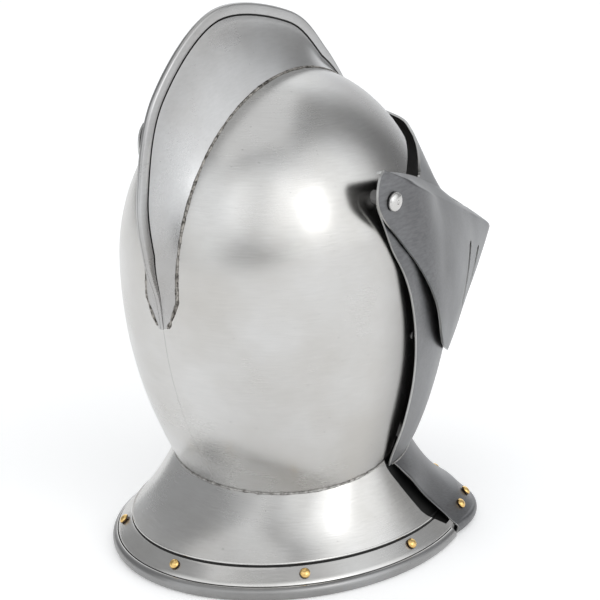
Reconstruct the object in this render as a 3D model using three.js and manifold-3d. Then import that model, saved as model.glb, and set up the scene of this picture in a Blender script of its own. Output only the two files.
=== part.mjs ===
// A close helmet in polished steel: a combed skull in two halves, a rear gorget, a bevor that
// carries the front gorget, and a sharp-prowed visor, all turning on one pair of side bolts.
// Millimetres, +Z up. The wearer faces -Y, so +X is the wearer's left.
// Inside this file a point is written (forward, right, up) and placed by at().
import * as THREE from 'three';
import { mergeVertices } from 'three/addons/utils/BufferGeometryUtils.js';
import Module from 'manifold-3d';

const wasm = await Module();
wasm.setup();

// ---- driving dimensions ----
const SHEET = 1.6;            // steel plate
const GAP = 0.35;             // clearance between neighbouring pieces
const MIDDLE = 37.75;         // forward distance from the dome's centre to the middle of the bounding box
const FLOOR = -2.3;           // height of the surface that the rear gorget rests on

const DOME_BACK = 115.9;      // skull: half-lengths and half-width at its widest level
const DOME_FRONT = 101.6;
const DOME_HALF = 96;
const DOME_LEVEL = 199.3;     // height of the widest level
const DOME_RISE = 118.9;      // from there to the crown
const NECK_LEVEL = 60;        // where the neck sizes hold
const NECK_BACK = 72.3;
const NECK_FRONT = 66;
const NECK_HALF = 77.6;
const SEAM_LEVEL = 60.5;      // neck seam plane, height at forward = 0
const SEAM_SLOPE = 0.16;      // and its rise per millimetre forward

const PIVOT_FORWARD = -14;    // the hinge line of visor and bevor
const PIVOT_UP = 248;
const EAR_RADIUS = 10;        // rounded plate end around the pivot

const RIM_CENTRE = 12.3;      // rear gorget rim
const RIM_BACK = 135.1;
const RIM_HALF = 110.7;
const BEAD_SCALE = 0.893;     // stepped bead line, as a share of the rim
const BEAD_UP = 20.4;         // height of the bead above the floor
const REAR_DISH = 2.5;        // hollow of the flare between neck and bead

const BEVOR_STANDOFF = 3;     // bevor's outer face beyond the skull's outer face
const EAR_LEVEL = 216;        // above this the bevor's cheeks rise straight to the pivots
const FRONT_RIM_CENTRE = 44;  // front gorget rim
const FRONT_RIM_LENGTH = 86;
const FRONT_RIM_HALF = 102;
const FRONT_LIFT = 0.8;       // the front rim rides this far above the rear rim
const FRONT_DISH = 5;

const FOLD_UP = 259.5;        // visor's outer fold plane, height at forward = 0
const FOLD_SLOPE = -0.429;
const VISOR_SIDE = 100.9;     // half-width of the visor at its arms
const PROW_CENTRE = 167.8;    // centre of the rounded prow in plan
const PROW_RADIUS = 42;
const PROW_SLOPE = 0.317;     // how fast each side closes towards the prow
const NOSE_DEPTH = 82;        // from the outer fold down to the lowest section, at the prow
const VISOR_DEPTH = 106;      // and at the arms
const SIDE_SWELL = 7.6;       // outward belly of the visor's sides
const PROW_SWELL = 4.2;       // and of its prow
const CHIN_LENGTH = 127.3;    // lowest section of the visor in plan
const CHIN_HALF = 106.5;
const CHIN_POINT = 1.65;      // below 2 the section comes to a point

const RIVET_RADIUS = 3.5;     // brass rivet heads
const RIVET_STEM = 1.6;
const BOLT_RADIUS = 3;
const BOLT_HEAD = 6.2;

const STEEL_BRIGHT = { color: 0xc9c8c4, roughness: 0.25, metalness: 1 };
const STEEL_DARK = { color: 0x8e8f90, roughness: 0.38, metalness: 1 };
const BRASS = { color: 0xd2a04a, roughness: 0.3, metalness: 1 };
const LEATHER = { color: 0x4a2f1c, roughness: 0.7, metalness: 0 };
const CANVAS = { color: 0xcabfa6, roughness: 0.9, metalness: 0 };

const helmet = new THREE.Group();

// ---- small helpers ----
function at(forward, right, up) {
  return new THREE.Vector3(-right, MIDDLE - forward, up - FLOOR);
}

function lerp(a, b, share) {
  return a + (b - a) * share;
}

// A smooth open curve through a few points of any number of coordinates.
function spline(points, share) {
  const last = points.length - 1;
  const place = Math.min(Math.max(share, 0), 1) * last;
  const i = Math.min(Math.floor(place), last - 1);
  const t = place - i;
  const p = [i - 1, i, i + 1, i + 2].map((k) => points[Math.min(Math.max(k, 0), last)]);
  return p[1].map((_, k) => 0.5 * (2 * p[1][k] + (p[2][k] - p[0][k]) * t
    + (2 * p[0][k] - 5 * p[1][k] + 4 * p[2][k] - p[3][k]) * t * t
    + (3 * p[1][k] - p[0][k] - 3 * p[2][k] + p[3][k]) * t * t * t));
}

function smooth(points, steps) {
  return Array.from({ length: steps + 1 }, (_, i) => spline(points, i / steps));
}

// Value at a height, from [height, value] pairs joined by a smooth curve.
function profileAt(pairs, up) {
  let low = 0;
  let high = 1;
  for (let i = 0; i < 30; i += 1) {
    const mid = (low + high) / 2;
    if (spline(pairs, mid)[0] < up) low = mid;
    else high = mid;
  }
  return spline(pairs, low)[1];
}

function toGeometry(positions, triangles) {
  const geometry = new THREE.BufferGeometry();
  geometry.setAttribute('position', new THREE.Float32BufferAttribute(positions, 3));
  geometry.setIndex(triangles);
  return geometry;
}

// Merge shared corners, drop the slivers that collapse, and turn the faces outward.
function tidy(source) {
  const bare = source.clone();
  bare.deleteAttribute('normal');
  bare.deleteAttribute('uv');
  const merged = mergeVertices(bare, 1e-4);
  const index = Array.from(merged.index.array);
  const kept = [];
  for (let i = 0; i < index.length; i += 3) {
    const [a, b, c] = index.slice(i, i + 3);
    if (a !== b && b !== c && a !== c) kept.push(a, b, c);
  }
  const p = merged.attributes.position;
  const corner = [0, 1, 2].map(() => new THREE.Vector3());
  let volume = 0;
  for (let i = 0; i < kept.length; i += 3) {
    corner.forEach((v, k) => v.fromBufferAttribute(p, kept[i + k]));
    volume += corner[0].dot(corner[1].clone().cross(corner[2]));
  }
  if (volume < 0) kept.reverse();
  return toGeometry(Array.from(p.array), kept);
}

function solid(geometry) {
  const clean = tidy(geometry);
  return new wasm.Manifold(new wasm.Mesh({
    numProp: 3,
    vertProperties: new Float32Array(clean.attributes.position.array),
    triVerts: new Uint32Array(clean.index.array),
  }));
}

function fromSolid(body) {
  const mesh = body.getMesh();
  return toGeometry(Array.from(mesh.vertProperties), Array.from(mesh.triVerts));
}

function cut(geometry, cutters) {
  const body = cutters.reduce((left, cutter) => left.subtract(solid(cutter)), solid(geometry));
  return fromSolid(body);
}

function join(geometries) {
  return fromSolid(geometries.map(solid).reduce((all, next) => all.add(next)));
}

// Closed skin from a grid of front points and the matching grid of back points.
function skin(front, back, closed = false) {
  const rows = front.length;
  const columns = front[0].length;
  const points = [...front.flat(), ...back.flat()];
  const id = (face, i, j) => face * rows * columns + (i % rows) * columns + j;
  const triangles = [];
  const quad = (a, b, c, d) => triangles.push(a, b, c, a, c, d);
  const spans = closed ? rows : rows - 1;
  for (let i = 0; i < spans; i += 1) {
    for (let j = 0; j < columns - 1; j += 1) {
      quad(id(0, i, j), id(0, i + 1, j), id(0, i + 1, j + 1), id(0, i, j + 1));
      quad(id(1, i, j), id(1, i, j + 1), id(1, i + 1, j + 1), id(1, i + 1, j));
    }
    quad(id(0, i, 0), id(1, i, 0), id(1, i + 1, 0), id(0, i + 1, 0));
    quad(id(0, i, columns - 1), id(0, i + 1, columns - 1), id(1, i + 1, columns - 1), id(1, i, columns - 1));
  }
  if (!closed) {
    for (let j = 0; j < columns - 1; j += 1) {
      quad(id(0, 0, j), id(0, 0, j + 1), id(1, 0, j + 1), id(1, 0, j));
      quad(id(0, rows - 1, j), id(1, rows - 1, j), id(1, rows - 1, j + 1), id(0, rows - 1, j + 1));
    }
  }
  return toGeometry(points.flatMap((p) => p.toArray()), triangles);
}

// Unit normal of a surface of two shares, on the side away from the helmet's middle.
function normalAt(surface, u, v) {
  const step = 1e-3;
  const du = surface(Math.min(u + step, 1), v).sub(surface(Math.max(u - step, 0), v));
  const dv = surface(u, Math.min(v + step, 1)).sub(surface(u, Math.max(v - step, 0)));
  const normal = du.cross(dv);
  if (normal.length() < 1e-7) return new THREE.Vector3(0, 0, 1);
  const outward = surface(u, v).sub(at(0, 0, 170));
  return normal.normalize().multiplyScalar(normal.dot(outward) < 0 ? -1 : 1);
}

// Plate of one thickness behind a surface whose shares u and v run from 0 to 1.
function plate(surface, rows, columns, thickness = SHEET, closed = false) {
  const front = [];
  const back = [];
  for (let i = 0; i <= rows - (closed ? 1 : 0); i += 1) {
    const u = i / rows;
    front.push([]);
    back.push([]);
    for (let j = 0; j <= columns; j += 1) {
      const point = surface(u, j / columns);
      front[i].push(point);
      back[i].push(point.clone().addScaledVector(normalAt(surface, u, j / columns), -thickness));
    }
  }
  return skin(front, back, closed);
}

// Block that runs right across the helmet behind a (forward, up) outline.
function across(outline, from = -160, to = 160) {
  const shape = new THREE.Shape(outline.map(([forward, up]) => new THREE.Vector2(forward, up)));
  const block = new THREE.ExtrudeGeometry(shape, { depth: to - from, bevelEnabled: false });
  const p = block.attributes.position;
  for (let i = 0; i < p.count; i += 1) {
    const placed = at(p.getX(i), from + p.getZ(i), p.getY(i));
    p.setXYZ(i, placed.x, placed.y, placed.z);
  }
  return block;
}

function moved(geometry, place) {
  return geometry.translate(place.x, place.y, place.z);
}

// Round piece from a closed (radius, height) profile, standing on a point along a direction.
function turned(profile, base, direction, segments = 14) {
  const points = profile.map(([radius, height]) => new THREE.Vector2(radius, height));
  const geometry = new THREE.LatheGeometry([...points, points[0].clone()], segments);
  const turn = new THREE.Quaternion().setFromUnitVectors(new THREE.Vector3(0, 1, 0), direction);
  return moved(geometry.applyQuaternion(turn), base);
}

function add(name, geometry, look) {
  const mesh = new THREE.Mesh(tidy(geometry), new THREE.MeshStandardMaterial(look));
  mesh.name = name;
  helmet.add(mesh);
}

const SIDES = [['right', 1], ['left', -1]];

// ---- the skull ----
function halfSize(full, neck, up) {
  if (up >= DOME_LEVEL) {
    return full * Math.sqrt(Math.max(0, 1 - ((up - DOME_LEVEL) / DOME_RISE) ** 2));
  }
  return full - (full - neck) * ((DOME_LEVEL - up) / (DOME_LEVEL - NECK_LEVEL)) ** 2;
}

// Outer face of the skull: angle 0 is the back, a quarter turn is the side, half a turn the front.
function domePoint(angle, up, standoff = 0) {
  const behind = Math.cos(angle) > 0;
  const length = behind ? halfSize(DOME_BACK, NECK_BACK, up) : halfSize(DOME_FRONT, NECK_FRONT, up);
  const half = halfSize(DOME_HALF, NECK_HALF, up);
  return [-Math.cos(angle) * (length + standoff), Math.sin(angle) * (half + standoff), up];
}

// Heights spaced closely near the crown: share 0 is below the neck seam, share 1 the crown.
function domeHeight(share, inset = 0) {
  const bottom = 42;
  const waist = 0.45;
  if (share < waist) return lerp(bottom, DOME_LEVEL, share / waist);
  return DOME_LEVEL + (DOME_RISE - inset) * Math.sin(((share - waist) / (1 - waist)) * Math.PI / 2);
}

const FACE_EDGE = [[24, 56], [29, 110], [26, 165], [15, 212], [16, 245], [37, 263], [64, 271.5], [110, 272]];
const NECK_CUT = [[-170, 0], [-170, SEAM_LEVEL - 170 * SEAM_SLOPE], [60, SEAM_LEVEL + 60 * SEAM_SLOPE],
  [60, 0]];
const FACE_CUT = [...smooth(FACE_EDGE, 16), [180, 272], [180, 20], [24, 20]];

function pivotRod(radius) {
  const rod = new THREE.CylinderGeometry(radius, radius, 320, 12).rotateZ(Math.PI / 2);
  return moved(rod, at(PIVOT_FORWARD, 0, PIVOT_UP));
}

const pivotHole = pivotRod(BOLT_RADIUS + GAP);

// Low rivets that hold the chin strap, hidden under the bevor.
const STRAP_FORWARD = 20.5;
const STRAP_RIVET_UP = 151;
const strapRivetPlaces = SIDES.map(([, side]) => {
  const up = STRAP_RIVET_UP;
  const angle = Math.PI - Math.acos(STRAP_FORWARD / halfSize(DOME_FRONT, NECK_FRONT, up));
  const surface = (u, v) => {
    const [forward, right, height] = domePoint(angle + (u - 0.5) * 0.1, up + (v - 0.5) * 4);
    return at(forward, side * right, height);
  };
  return { point: surface(0.5, 0.5), normal: normalAt(surface, 0.5, 0.5) };
});
const strapHoles = strapRivetPlaces.map(({ point, normal }) => {
  const drill = [[0, -12], [1.8, -12], [1.8, 6], [0, 6]];
  return turned(drill, point, normal, 8);
});

for (const [name, side] of SIDES) {
  const surface = (u, v) => {
    const [forward, right, up] = domePoint(u * Math.PI, domeHeight(v));
    return at(forward, side * (right + GAP / 2), up);
  };
  const front = [];
  const back = [];
  const rows = 20;
  const columns = 9;
  for (let i = 0; i <= rows; i += 1) {
    front.push([]);
    back.push([]);
    for (let j = 0; j <= columns; j += 1) {
      const point = surface(i / rows, j / columns);
      const inner = point.clone().addScaledVector(normalAt(surface, i / rows, j / columns), -SHEET);
      const onSeam = i === 0 || i === rows || j === columns;
      if (onSeam) inner.x = point.x;
      front[i].push(point);
      back[i].push(inner);
    }
  }
  const half = cut(skin(front, back), [across(NECK_CUT), across(FACE_CUT), pivotHole, ...strapHoles]);
  add(`skull_${name}_half`, half, STEEL_BRIGHT);
}

// ---- the comb: two flared plates that meet in a flat hem ----
const COMB_EDGE = [[-116.2, 170], [-120, 190], [-129, 216], [-134, 258], [-119, 316], [-66, 361], [6, 352],
  [44, 322], [77, 279.5]];
const COMB_FLARE = 11;
const HEM_WIDTH = 8;
const HEM_OFFSET = 0.2;
const FOOT_GAP = 0.5;

// Where the ray from the centre of the widest level to an edge point leaves the skull.
function combFoot(edge, right) {
  const direction = Math.atan2(edge[1] - DOME_LEVEL, edge[0]);
  const behind = edge[0] < 0;
  let inside = 60;
  let outside = 160;
  for (let i = 0; i < 30; i += 1) {
    const reach = (inside + outside) / 2;
    const up = DOME_LEVEL + reach * Math.sin(direction);
    const length = behind ? halfSize(DOME_BACK, NECK_BACK, up) : halfSize(DOME_FRONT, NECK_FRONT, up);
    const half = halfSize(DOME_HALF, NECK_HALF, up);
    const covered = Math.hypot(reach * Math.cos(direction) / length, right / half) < 1;
    if (covered) inside = reach;
    else outside = reach;
  }
  const reach = inside + FOOT_GAP;
  return [reach * Math.cos(direction), DOME_LEVEL + reach * Math.sin(direction)];
}

// The flare narrows to a point at both ends of the comb.
function combFlare(u) {
  return COMB_FLARE * Math.min(1, 0.15 + u / 0.14, 0.15 + (1 - u) / 0.16);
}

function combPoint(side, u, v) {
  const edge = spline(COMB_EDGE, u);
  const flare = combFlare(u);
  const foot = combFoot(edge, HEM_OFFSET + flare);
  const height = Math.hypot(edge[0] - foot[0], edge[1] - foot[1]);
  const hem = Math.min(HEM_WIDTH / height, 0.5);
  const climb = Math.min(v / (1 - hem), 1);
  const right = HEM_OFFSET + SHEET + flare * (1 - climb) ** 1.6;
  return at(lerp(foot[0], edge[0], v), side * right, lerp(foot[1], edge[1], v));
}

for (const [name, side] of SIDES) {
  const front = [];
  const back = [];
  for (let i = 0; i <= 26; i += 1) {
    const row = [0, 0.25, 0.5, 0.75, 1].map((v) => combPoint(side, i / 26, v));
    front.push(row);
    back.push(row.map((point) => point.clone().add(new THREE.Vector3(side * SHEET, 0, 0))));
  }
  add(`comb_${name}_plate`, skin(front, back), STEEL_BRIGHT);
}

// ---- the rear gorget ----
// The seam between skull and gorget at an angle round the neck.
function neckPoint(angle) {
  let up = SEAM_LEVEL;
  for (let i = 0; i < 8; i += 1) up = SEAM_LEVEL + SEAM_SLOPE * domePoint(angle, up)[0];
  return domePoint(angle, up);
}

function rimPoint(angle, scale, up) {
  return [RIM_CENTRE - Math.cos(angle) * RIM_BACK * scale, Math.sin(angle) * RIM_HALF * scale, up + FLOOR];
}

// Line down a gorget's flare from the neck to the bead, hollowed in the middle by the dish.
function flareLine(neck, bead, share, dish, drop) {
  const up = lerp(neck[2], bead[2], share) - dish * Math.sin(Math.PI * share) - drop;
  return [lerp(neck[0], bead[0], share), lerp(neck[1], bead[1], share), up];
}

function rearFlare(angle, share, drop) {
  const [forward, right, up] = neckPoint(angle);
  return flareLine([forward, right, up - GAP], rimPoint(angle, BEAD_SCALE, BEAD_UP), share, REAR_DISH, drop);
}

// Stations of the band and the rolled rim: [share of the rim's size, height above the floor].
const RIM_PROFILE = [[0.902, 20], [0.985, 9], [0.997, 8.4], [1.005, 4.6], [0.998, 1], [0.985, 0], [0.96, 0],
  [0.951, 3.5], [0.965, 8.4], [0.889, 18.4]];
const GORGET_TURN = 2.02;     // how far round each side the rear gorget reaches, in radians
const FLARE_DROP = 2.1;       // from the flare's outer face down to its inner face

// Closed section through a gorget: down the flare, round the rolled rim and back up inside.
function gorgetSection(ring, flare) {
  return (angle) => {
    const outer = [0, 0.5, 1].map((share) => flare(angle, share, 0));
    const rim = RIM_PROFILE.map(([scale, up]) => ring(angle, scale, up));
    const inner = [0.97, 0.48, 0].map((share) => flare(angle, share, FLARE_DROP));
    return [...outer, ...rim, ...inner].map((p) => at(...p));
  };
}

// Tube of closed sections, capped flat at both ends.
function capped(sections, capOutline) {
  const size = sections[0].length;
  const points = sections.flat();
  const triangles = [];
  for (let i = 0; i < sections.length - 1; i += 1) {
    for (let j = 0; j < size; j += 1) {
      const a = i * size + j;
      const b = i * size + ((j + 1) % size);
      triangles.push(a, b, b + size, a, b + size, a + size);
    }
  }
  const faces = THREE.ShapeUtils.triangulateShape(capOutline.map(([a, b]) => new THREE.Vector2(a, b)), []);
  const end = (sections.length - 1) * size;
  for (const [a, b, c] of faces) {
    triangles.push(a, c, b);
    triangles.push(end + a, end + b, end + c);
  }
  return toGeometry(points.flatMap((p) => p.toArray()), triangles);
}

function sectionOutline(section) {
  const middle = at(RIM_CENTRE, 0, 0);
  return section.map((p) => [Math.hypot(p.x - middle.x, p.y - middle.y), p.z]);
}

// Sections swept round the neck, listed so that the caps at both ends face outward.
function ringPiece(sectionAt, from, to, steps) {
  const sections = Array.from({ length: steps + 1 }, (_, i) => sectionAt(lerp(from, to, i / steps)));
  const outline = sectionOutline(sections[0]);
  const area = THREE.ShapeUtils.area(outline.map(([a, b]) => new THREE.Vector2(a, b)));
  if (area > 0) return capped(sections, outline);
  return capped(sections.map((section) => section.reverse()), outline.reverse());
}

const REAR_END_CUT = [[12, 75], [13, 57], [34, 22], [54, 9], [60, 0], [60, -20], [140, -20], [140, 75]];

const REAR_RIVET_ANGLES = [-84, -40, 3.5, 49, 88].map((degrees) => degrees * Math.PI / 180);
const RIVET_SCALE = 0.94;

// Point and outward direction on the band between bead and rim.
function bandPlace(ring, angle) {
  const [[scaleA, upA], [scaleB, upB]] = [RIM_PROFILE[0], RIM_PROFILE[1]];
  const up = lerp(upA, upB, (RIVET_SCALE - scaleA) / (scaleB - scaleA));
  const point = at(...ring(angle, RIVET_SCALE, up));
  const along = at(...ring(angle + 0.01, RIVET_SCALE, up)).sub(point);
  const down = at(...ring(angle, scaleB, upB)).sub(at(...ring(angle, scaleA, upA)));
  const normal = down.cross(along).normalize();
  if (normal.z < 0) normal.negate();
  return { point, normal };
}

function rivet({ point, normal }) {
  const r = RIVET_RADIUS;
  const tail = [[0, -7.2], [2.6, -7.2], [2.9, -5.9], [RIVET_STEM, -5.9]];
  const head = [[RIVET_STEM, GAP], [r, GAP], [r * 0.8, 1.8], [0, 2.7]];
  return turned([...tail, ...head], point, normal, 8);
}

function rivetHole({ point, normal }) {
  const radius = RIVET_STEM + GAP;
  return turned([[0, -10], [radius, -10], [radius, 6], [0, 6]], point, normal, 8);
}

function liningSection(ring) {
  const outline = [[0.947, 9.4], [0.902, 15.2], [0.896, 13.2], [0.941, 7.4]];
  return (angle) => outline.map(([scale, up]) => at(...ring(angle, scale, up)));
}

const rearPlaces = REAR_RIVET_ANGLES.map((angle) => bandPlace(rimPoint, angle));
const rearHoles = rearPlaces.map(rivetHole);
add('rear_gorget', cut(ringPiece(gorgetSection(rimPoint, rearFlare), -GORGET_TURN, GORGET_TURN, 30),
  [across(REAR_END_CUT), ...rearHoles]), STEEL_BRIGHT);
add('rear_lining_band', cut(ringPiece(liningSection(rimPoint), -1.82, 1.82, 26), rearHoles), LEATHER);
rearPlaces.forEach((place, i) => add(`rear_rivet_${i + 1}`, rivet(place), BRASS));

// ---- the bevor and the front gorget ----
const BEVOR_LENGTHS = [[48, 80], [58, 95], [70, 109], [92, 121.5], [125, 132], [170, 136], [250, 120]];

function bevorPoint(angle, up) {
  const [forward, right] = domePoint(angle, Math.min(up, EAR_LEVEL), BEVOR_STANDOFF);
  if (forward <= 0) return [forward, right, up];
  return [-Math.cos(angle) * profileAt(BEVOR_LENGTHS, up), right, up];
}

const BEVOR_SEAM = 58;        // height of the seam between bevor and front gorget
const BEVOR_REAR = [[15.5, 40], [16.5, 70], [21, 116], [15.5, 155], [2.5, 193], [-9, 214], [-18, 233]];
const BEVOR_TOP = [[-3, 238], [5, 222], [20, 204], [38, 183], [60, 156], [95, 138], [142, 131]];

function bevorCut() {
  const ear = [];
  for (let i = 1; i < 8; i += 1) {
    const turn = Math.PI * (1.19 - 1.2 * i / 8);
    ear.push([PIVOT_FORWARD + EAR_RADIUS * Math.cos(turn), PIVOT_UP + EAR_RADIUS * Math.sin(turn)]);
  }
  const edge = [...smooth(BEVOR_REAR, 12), ...ear, ...smooth(BEVOR_TOP, 10)];
  return [...edge, [170, 131], [170, 290], [-60, 290], [-60, 40]];
}

const bevorSurface = (u, v) => at(...bevorPoint(lerp(0.36, 1.64, u) * Math.PI, lerp(BEVOR_SEAM, 268, v)));
add('bevor', cut(plate(bevorSurface, 30, 10), [across(bevorCut()), pivotHole]), STEEL_DARK);

// Front rim in plan: fuller than an ellipse.
function frontRimPoint(angle, scale, up) {
  const squareness = 3;
  const c = -Math.cos(angle);
  const s = Math.sin(angle);
  const reach = (Math.abs(c) ** squareness + Math.abs(s) ** squareness) ** (-1 / squareness);
  const round = c > 0 ? reach : 1;
  return [FRONT_RIM_CENTRE * (0.25 + 0.75 * scale) + c * round * FRONT_RIM_LENGTH * scale,
    s * round * FRONT_RIM_HALF * scale, up + FRONT_LIFT + FLOOR];
}

function frontFlare(angle, share, drop) {
  const neck = bevorPoint(angle, BEVOR_SEAM - GAP);
  return flareLine(neck, frontRimPoint(angle, BEAD_SCALE, BEAD_UP), share, FRONT_DISH, drop);
}

const FRONT_END_CUT = [[-10, 75], [13, 75], [16, 62], [34, 33], [52, 11], [60, 5], [62, -20], [-10, -20]];
const FRONT_RIVET_ANGLES = [-116, -130, -156, 156, 130, 116].map((degrees) => degrees * Math.PI / 180);

const frontPlaces = FRONT_RIVET_ANGLES.map((angle) => bandPlace(frontRimPoint, angle));
const frontHoles = frontPlaces.map(rivetHole);
const frontRing = ringPiece(gorgetSection(frontRimPoint, frontFlare), Math.PI * 0.5, Math.PI * 1.5, 26);
add('front_gorget', cut(frontRing, [across(FRONT_END_CUT), ...frontHoles]), STEEL_DARK);
const frontLining = ringPiece(liningSection(frontRimPoint), Math.PI * 0.6, Math.PI * 1.4, 18);
add('front_lining_band', cut(frontLining, frontHoles), LEATHER);
frontPlaces.forEach((place, i) => add(`front_rivet_${i + 1}`, rivet(place), BRASS));

// ---- the visor: brow plate, sloping ledge and prow in one sheet ----
const PROW_ARC = Math.PI / 2 - Math.atan(PROW_SLOPE);
const ARC_SHARE = 0.3;        // share of each half's sections that lie on the rounded nose
const ARM_SHARE = 0.72;       // and where the straight side gives way to the arm
const ARM_PLAN = [[60, 0], [44, 0.31], [28, 0.62], [14, 0.86], [3, 0.97], [-10, 1], [-36, 1]];

// Outer fold in plan: share 0 is the nose, share 1 the rear end of the arm.
function foldPlan(share) {
  const turn = PROW_ARC * Math.min(share / ARC_SHARE, 1);
  const arc = [PROW_CENTRE + PROW_RADIUS * Math.cos(turn), PROW_RADIUS * Math.sin(turn)];
  if (share < ARC_SHARE) return arc;
  const start = ARM_PLAN[0][0];
  const startHalf = arc[1] + (arc[0] - start) * PROW_SLOPE;
  if (share < ARM_SHARE) {
    const t = (share - ARC_SHARE) / (ARM_SHARE - ARC_SHARE);
    return [lerp(arc[0], start, t), lerp(arc[1], startHalf, t)];
  }
  const [forward, widening] = spline(ARM_PLAN, (share - ARM_SHARE) / (1 - ARM_SHARE));
  return [forward, lerp(startHalf, VISOR_SIDE, widening)];
}

function foldPoint(share) {
  const [forward, right] = foldPlan(share);
  return [forward, right, FOLD_UP + FOLD_SLOPE * forward];
}

// Lowest section: a pointed oval that passes outside the bevor.
function chinPoint(share) {
  const [forward, right, up] = foldPoint(share);
  const depth = lerp(NOSE_DEPTH, VISOR_DEPTH, right / VISOR_SIDE);
  if (forward <= 0) return [forward, CHIN_HALF, up - depth];
  const reach = Math.min(forward / (PROW_CENTRE + PROW_RADIUS), 1);
  const half = CHIN_HALF * (1 - reach ** CHIN_POINT) ** (1 / CHIN_POINT);
  return [CHIN_LENGTH * reach, half, up - depth];
}

const LEDGE_INNER = [[134, 0, 211.1], [128, 28, 213.5], [116, 43, 218.4], [104, 52, 223.4], [88, 62.5, 229.9],
  [56, 72.5, 243], [18, 86, 257], [-36, 98, 271]];
const LEDGE_CROWN = 2;
const BROW_EDGE = [[100, 0, 274], [92, 28, 271.5], [80, 45, 268], [70, 57, 263], [60, 66.5, 256.5],
  [50, 74, 247.5]];
const BROW_SHARE = 5 / 7;     // share of each half that the brow plate reaches

function ledgePoint(share) {
  const [forward, right, up] = spline(LEDGE_INNER, share);
  return [forward, Math.max(right, 0), up];
}

function browPoint(share) {
  if (share >= BROW_SHARE) return ledgePoint(share);
  const [forward, right, up] = spline(BROW_EDGE, share / BROW_SHARE);
  return [forward, Math.max(right, 0), up];
}

// Whole visor: u runs from the left arm round the nose to the right arm, v in three bands:
// 0 to 1 up the prow, 1 to 2 in over the ledge, 2 to 3 up the brow plate.
function visorPoint(u, v) {
  const share = Math.abs(2 * u - 1);
  const side = u < 0.5 ? -1 : 1;
  const band = Math.min(Math.floor(v), 2);
  const t = v - band;
  const lines = [chinPoint, foldPoint, ledgePoint, browPoint];
  const from = lines[band](share);
  const to = lines[band + 1](share);
  const point = from.map((value, k) => lerp(value, to[k], t));
  const swell = 4 * t * (1 - t);
  if (band === 0) {
    const flank = Math.min(point[1] / 60, 1);
    const arm = Math.min(Math.max((share - ARM_SHARE) / 0.15, 0), 1);
    point[0] += swell * PROW_SWELL * (1 - flank);
    point[1] = lerp(point[1] + swell * SIDE_SWELL * flank, VISOR_SIDE, arm * arm * (3 - 2 * arm));
  }
  if (band === 1) point[2] += swell * LEDGE_CROWN * Math.max(1 - share / 0.7, 0);
  return at(point[0], side * point[1], point[2]);
}

function visorGrid(us, vs) {
  return us.map((u) => vs.map((v) => visorPoint(u, v)));
}

// Normals of a grid from its neighbours, so a fold gets the mean of its two faces.
function gridNormals(grid) {
  const inside = at(60, 0, 170);
  return grid.map((row, i) => {
    let last = new THREE.Vector3(0, 0, 1);
    return row.map((point, j) => {
      const along = grid[Math.min(i + 1, grid.length - 1)][j].clone().sub(grid[Math.max(i - 1, 0)][j]);
      const up = row[Math.min(j + 1, row.length - 1)].clone().sub(row[Math.max(j - 1, 0)]);
      const normal = along.cross(up);
      if (up.length() < 1e-6) return last;
      normal.normalize();
      if (normal.dot(point.clone().sub(inside)) < 0) normal.negate();
      last = normal;
      return normal;
    });
  });
}

function offsetGrid(grid, distance) {
  const normals = gridNormals(grid);
  return grid.map((row, i) => row.map((point, j) => point.clone().addScaledVector(normals[i][j], distance)));
}

function range(from, to, steps) {
  return Array.from({ length: steps + 1 }, (_, i) => lerp(from, to, i / steps));
}

// Slot through the visor between two u values and two v values.
function visorSlot(us, vs) {
  const grid = visorGrid(us, vs);
  return skin(offsetGrid(grid, 6), offsetGrid(grid, -6));
}

const VISOR_EDGE = [[-20, 290], [-22, 273], [-28, 264], [-29.5, 252], [-26, 242.5], [-18, 233], [-7, 222.5],
  [14, 200], [35, 171], [54, 138], [86, 119], [122, 106], [170, 98]];
const VISOR_CUT = [...smooth(VISOR_EDGE, 24), [230, 92], [230, 30], [-60, 30], [-60, 290]];

const BREATH_SHARES = [0.17, 0.26, 0.35, 0.44];
const slots = [];
for (const [, side] of SIDES) {
  for (const share of BREATH_SHARES) {
    const middle = 0.5 + side * share / 2;
    slots.push(visorSlot([middle - 0.0035, middle + 0.0035], [0.42, 0.82]));
  }
  const sight = range(0.04, 0.5, 5).map((share) => 0.5 + side * share / 2);
  slots.push(visorSlot(sight, [1.43, 1.55]));
}

const visorUs = [...range(0, 0.14, 6), ...range(0.14, 0.35, 3).slice(1), ...range(0.35, 0.65, 10).slice(1),
  ...range(0.65, 0.86, 3).slice(1), ...range(0.86, 1, 6).slice(1)];
const visorVs = [...range(0, 1, 5), 1.5, ...range(2, 3, 2)];
const visorFront = visorGrid(visorUs, visorVs);
add('visor', cut(skin(visorFront, offsetGrid(visorFront, -SHEET)),
  [across(VISOR_CUT), pivotHole, ...slots]), STEEL_DARK);

// ---- pivots, from outside in: bolt head, visor, washer, bevor, collar, skull, nut ----
function pivotAt(right) {
  return at(PIVOT_FORWARD, right, PIVOT_UP);
}

const BOLT_SEAT = 101.3;      // under the bolt head
const BOLT_LENGTH = 24.6;
const WASHER_SEAT = 98.2;     // washer between bevor and visor
const COLLAR_SEAT = 94.6;     // outer end of the spacer between skull and bevor
const COLLAR_LENGTH = 12;
const NUT_SEAT = 81.2;        // inner face the nut bears on

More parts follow.
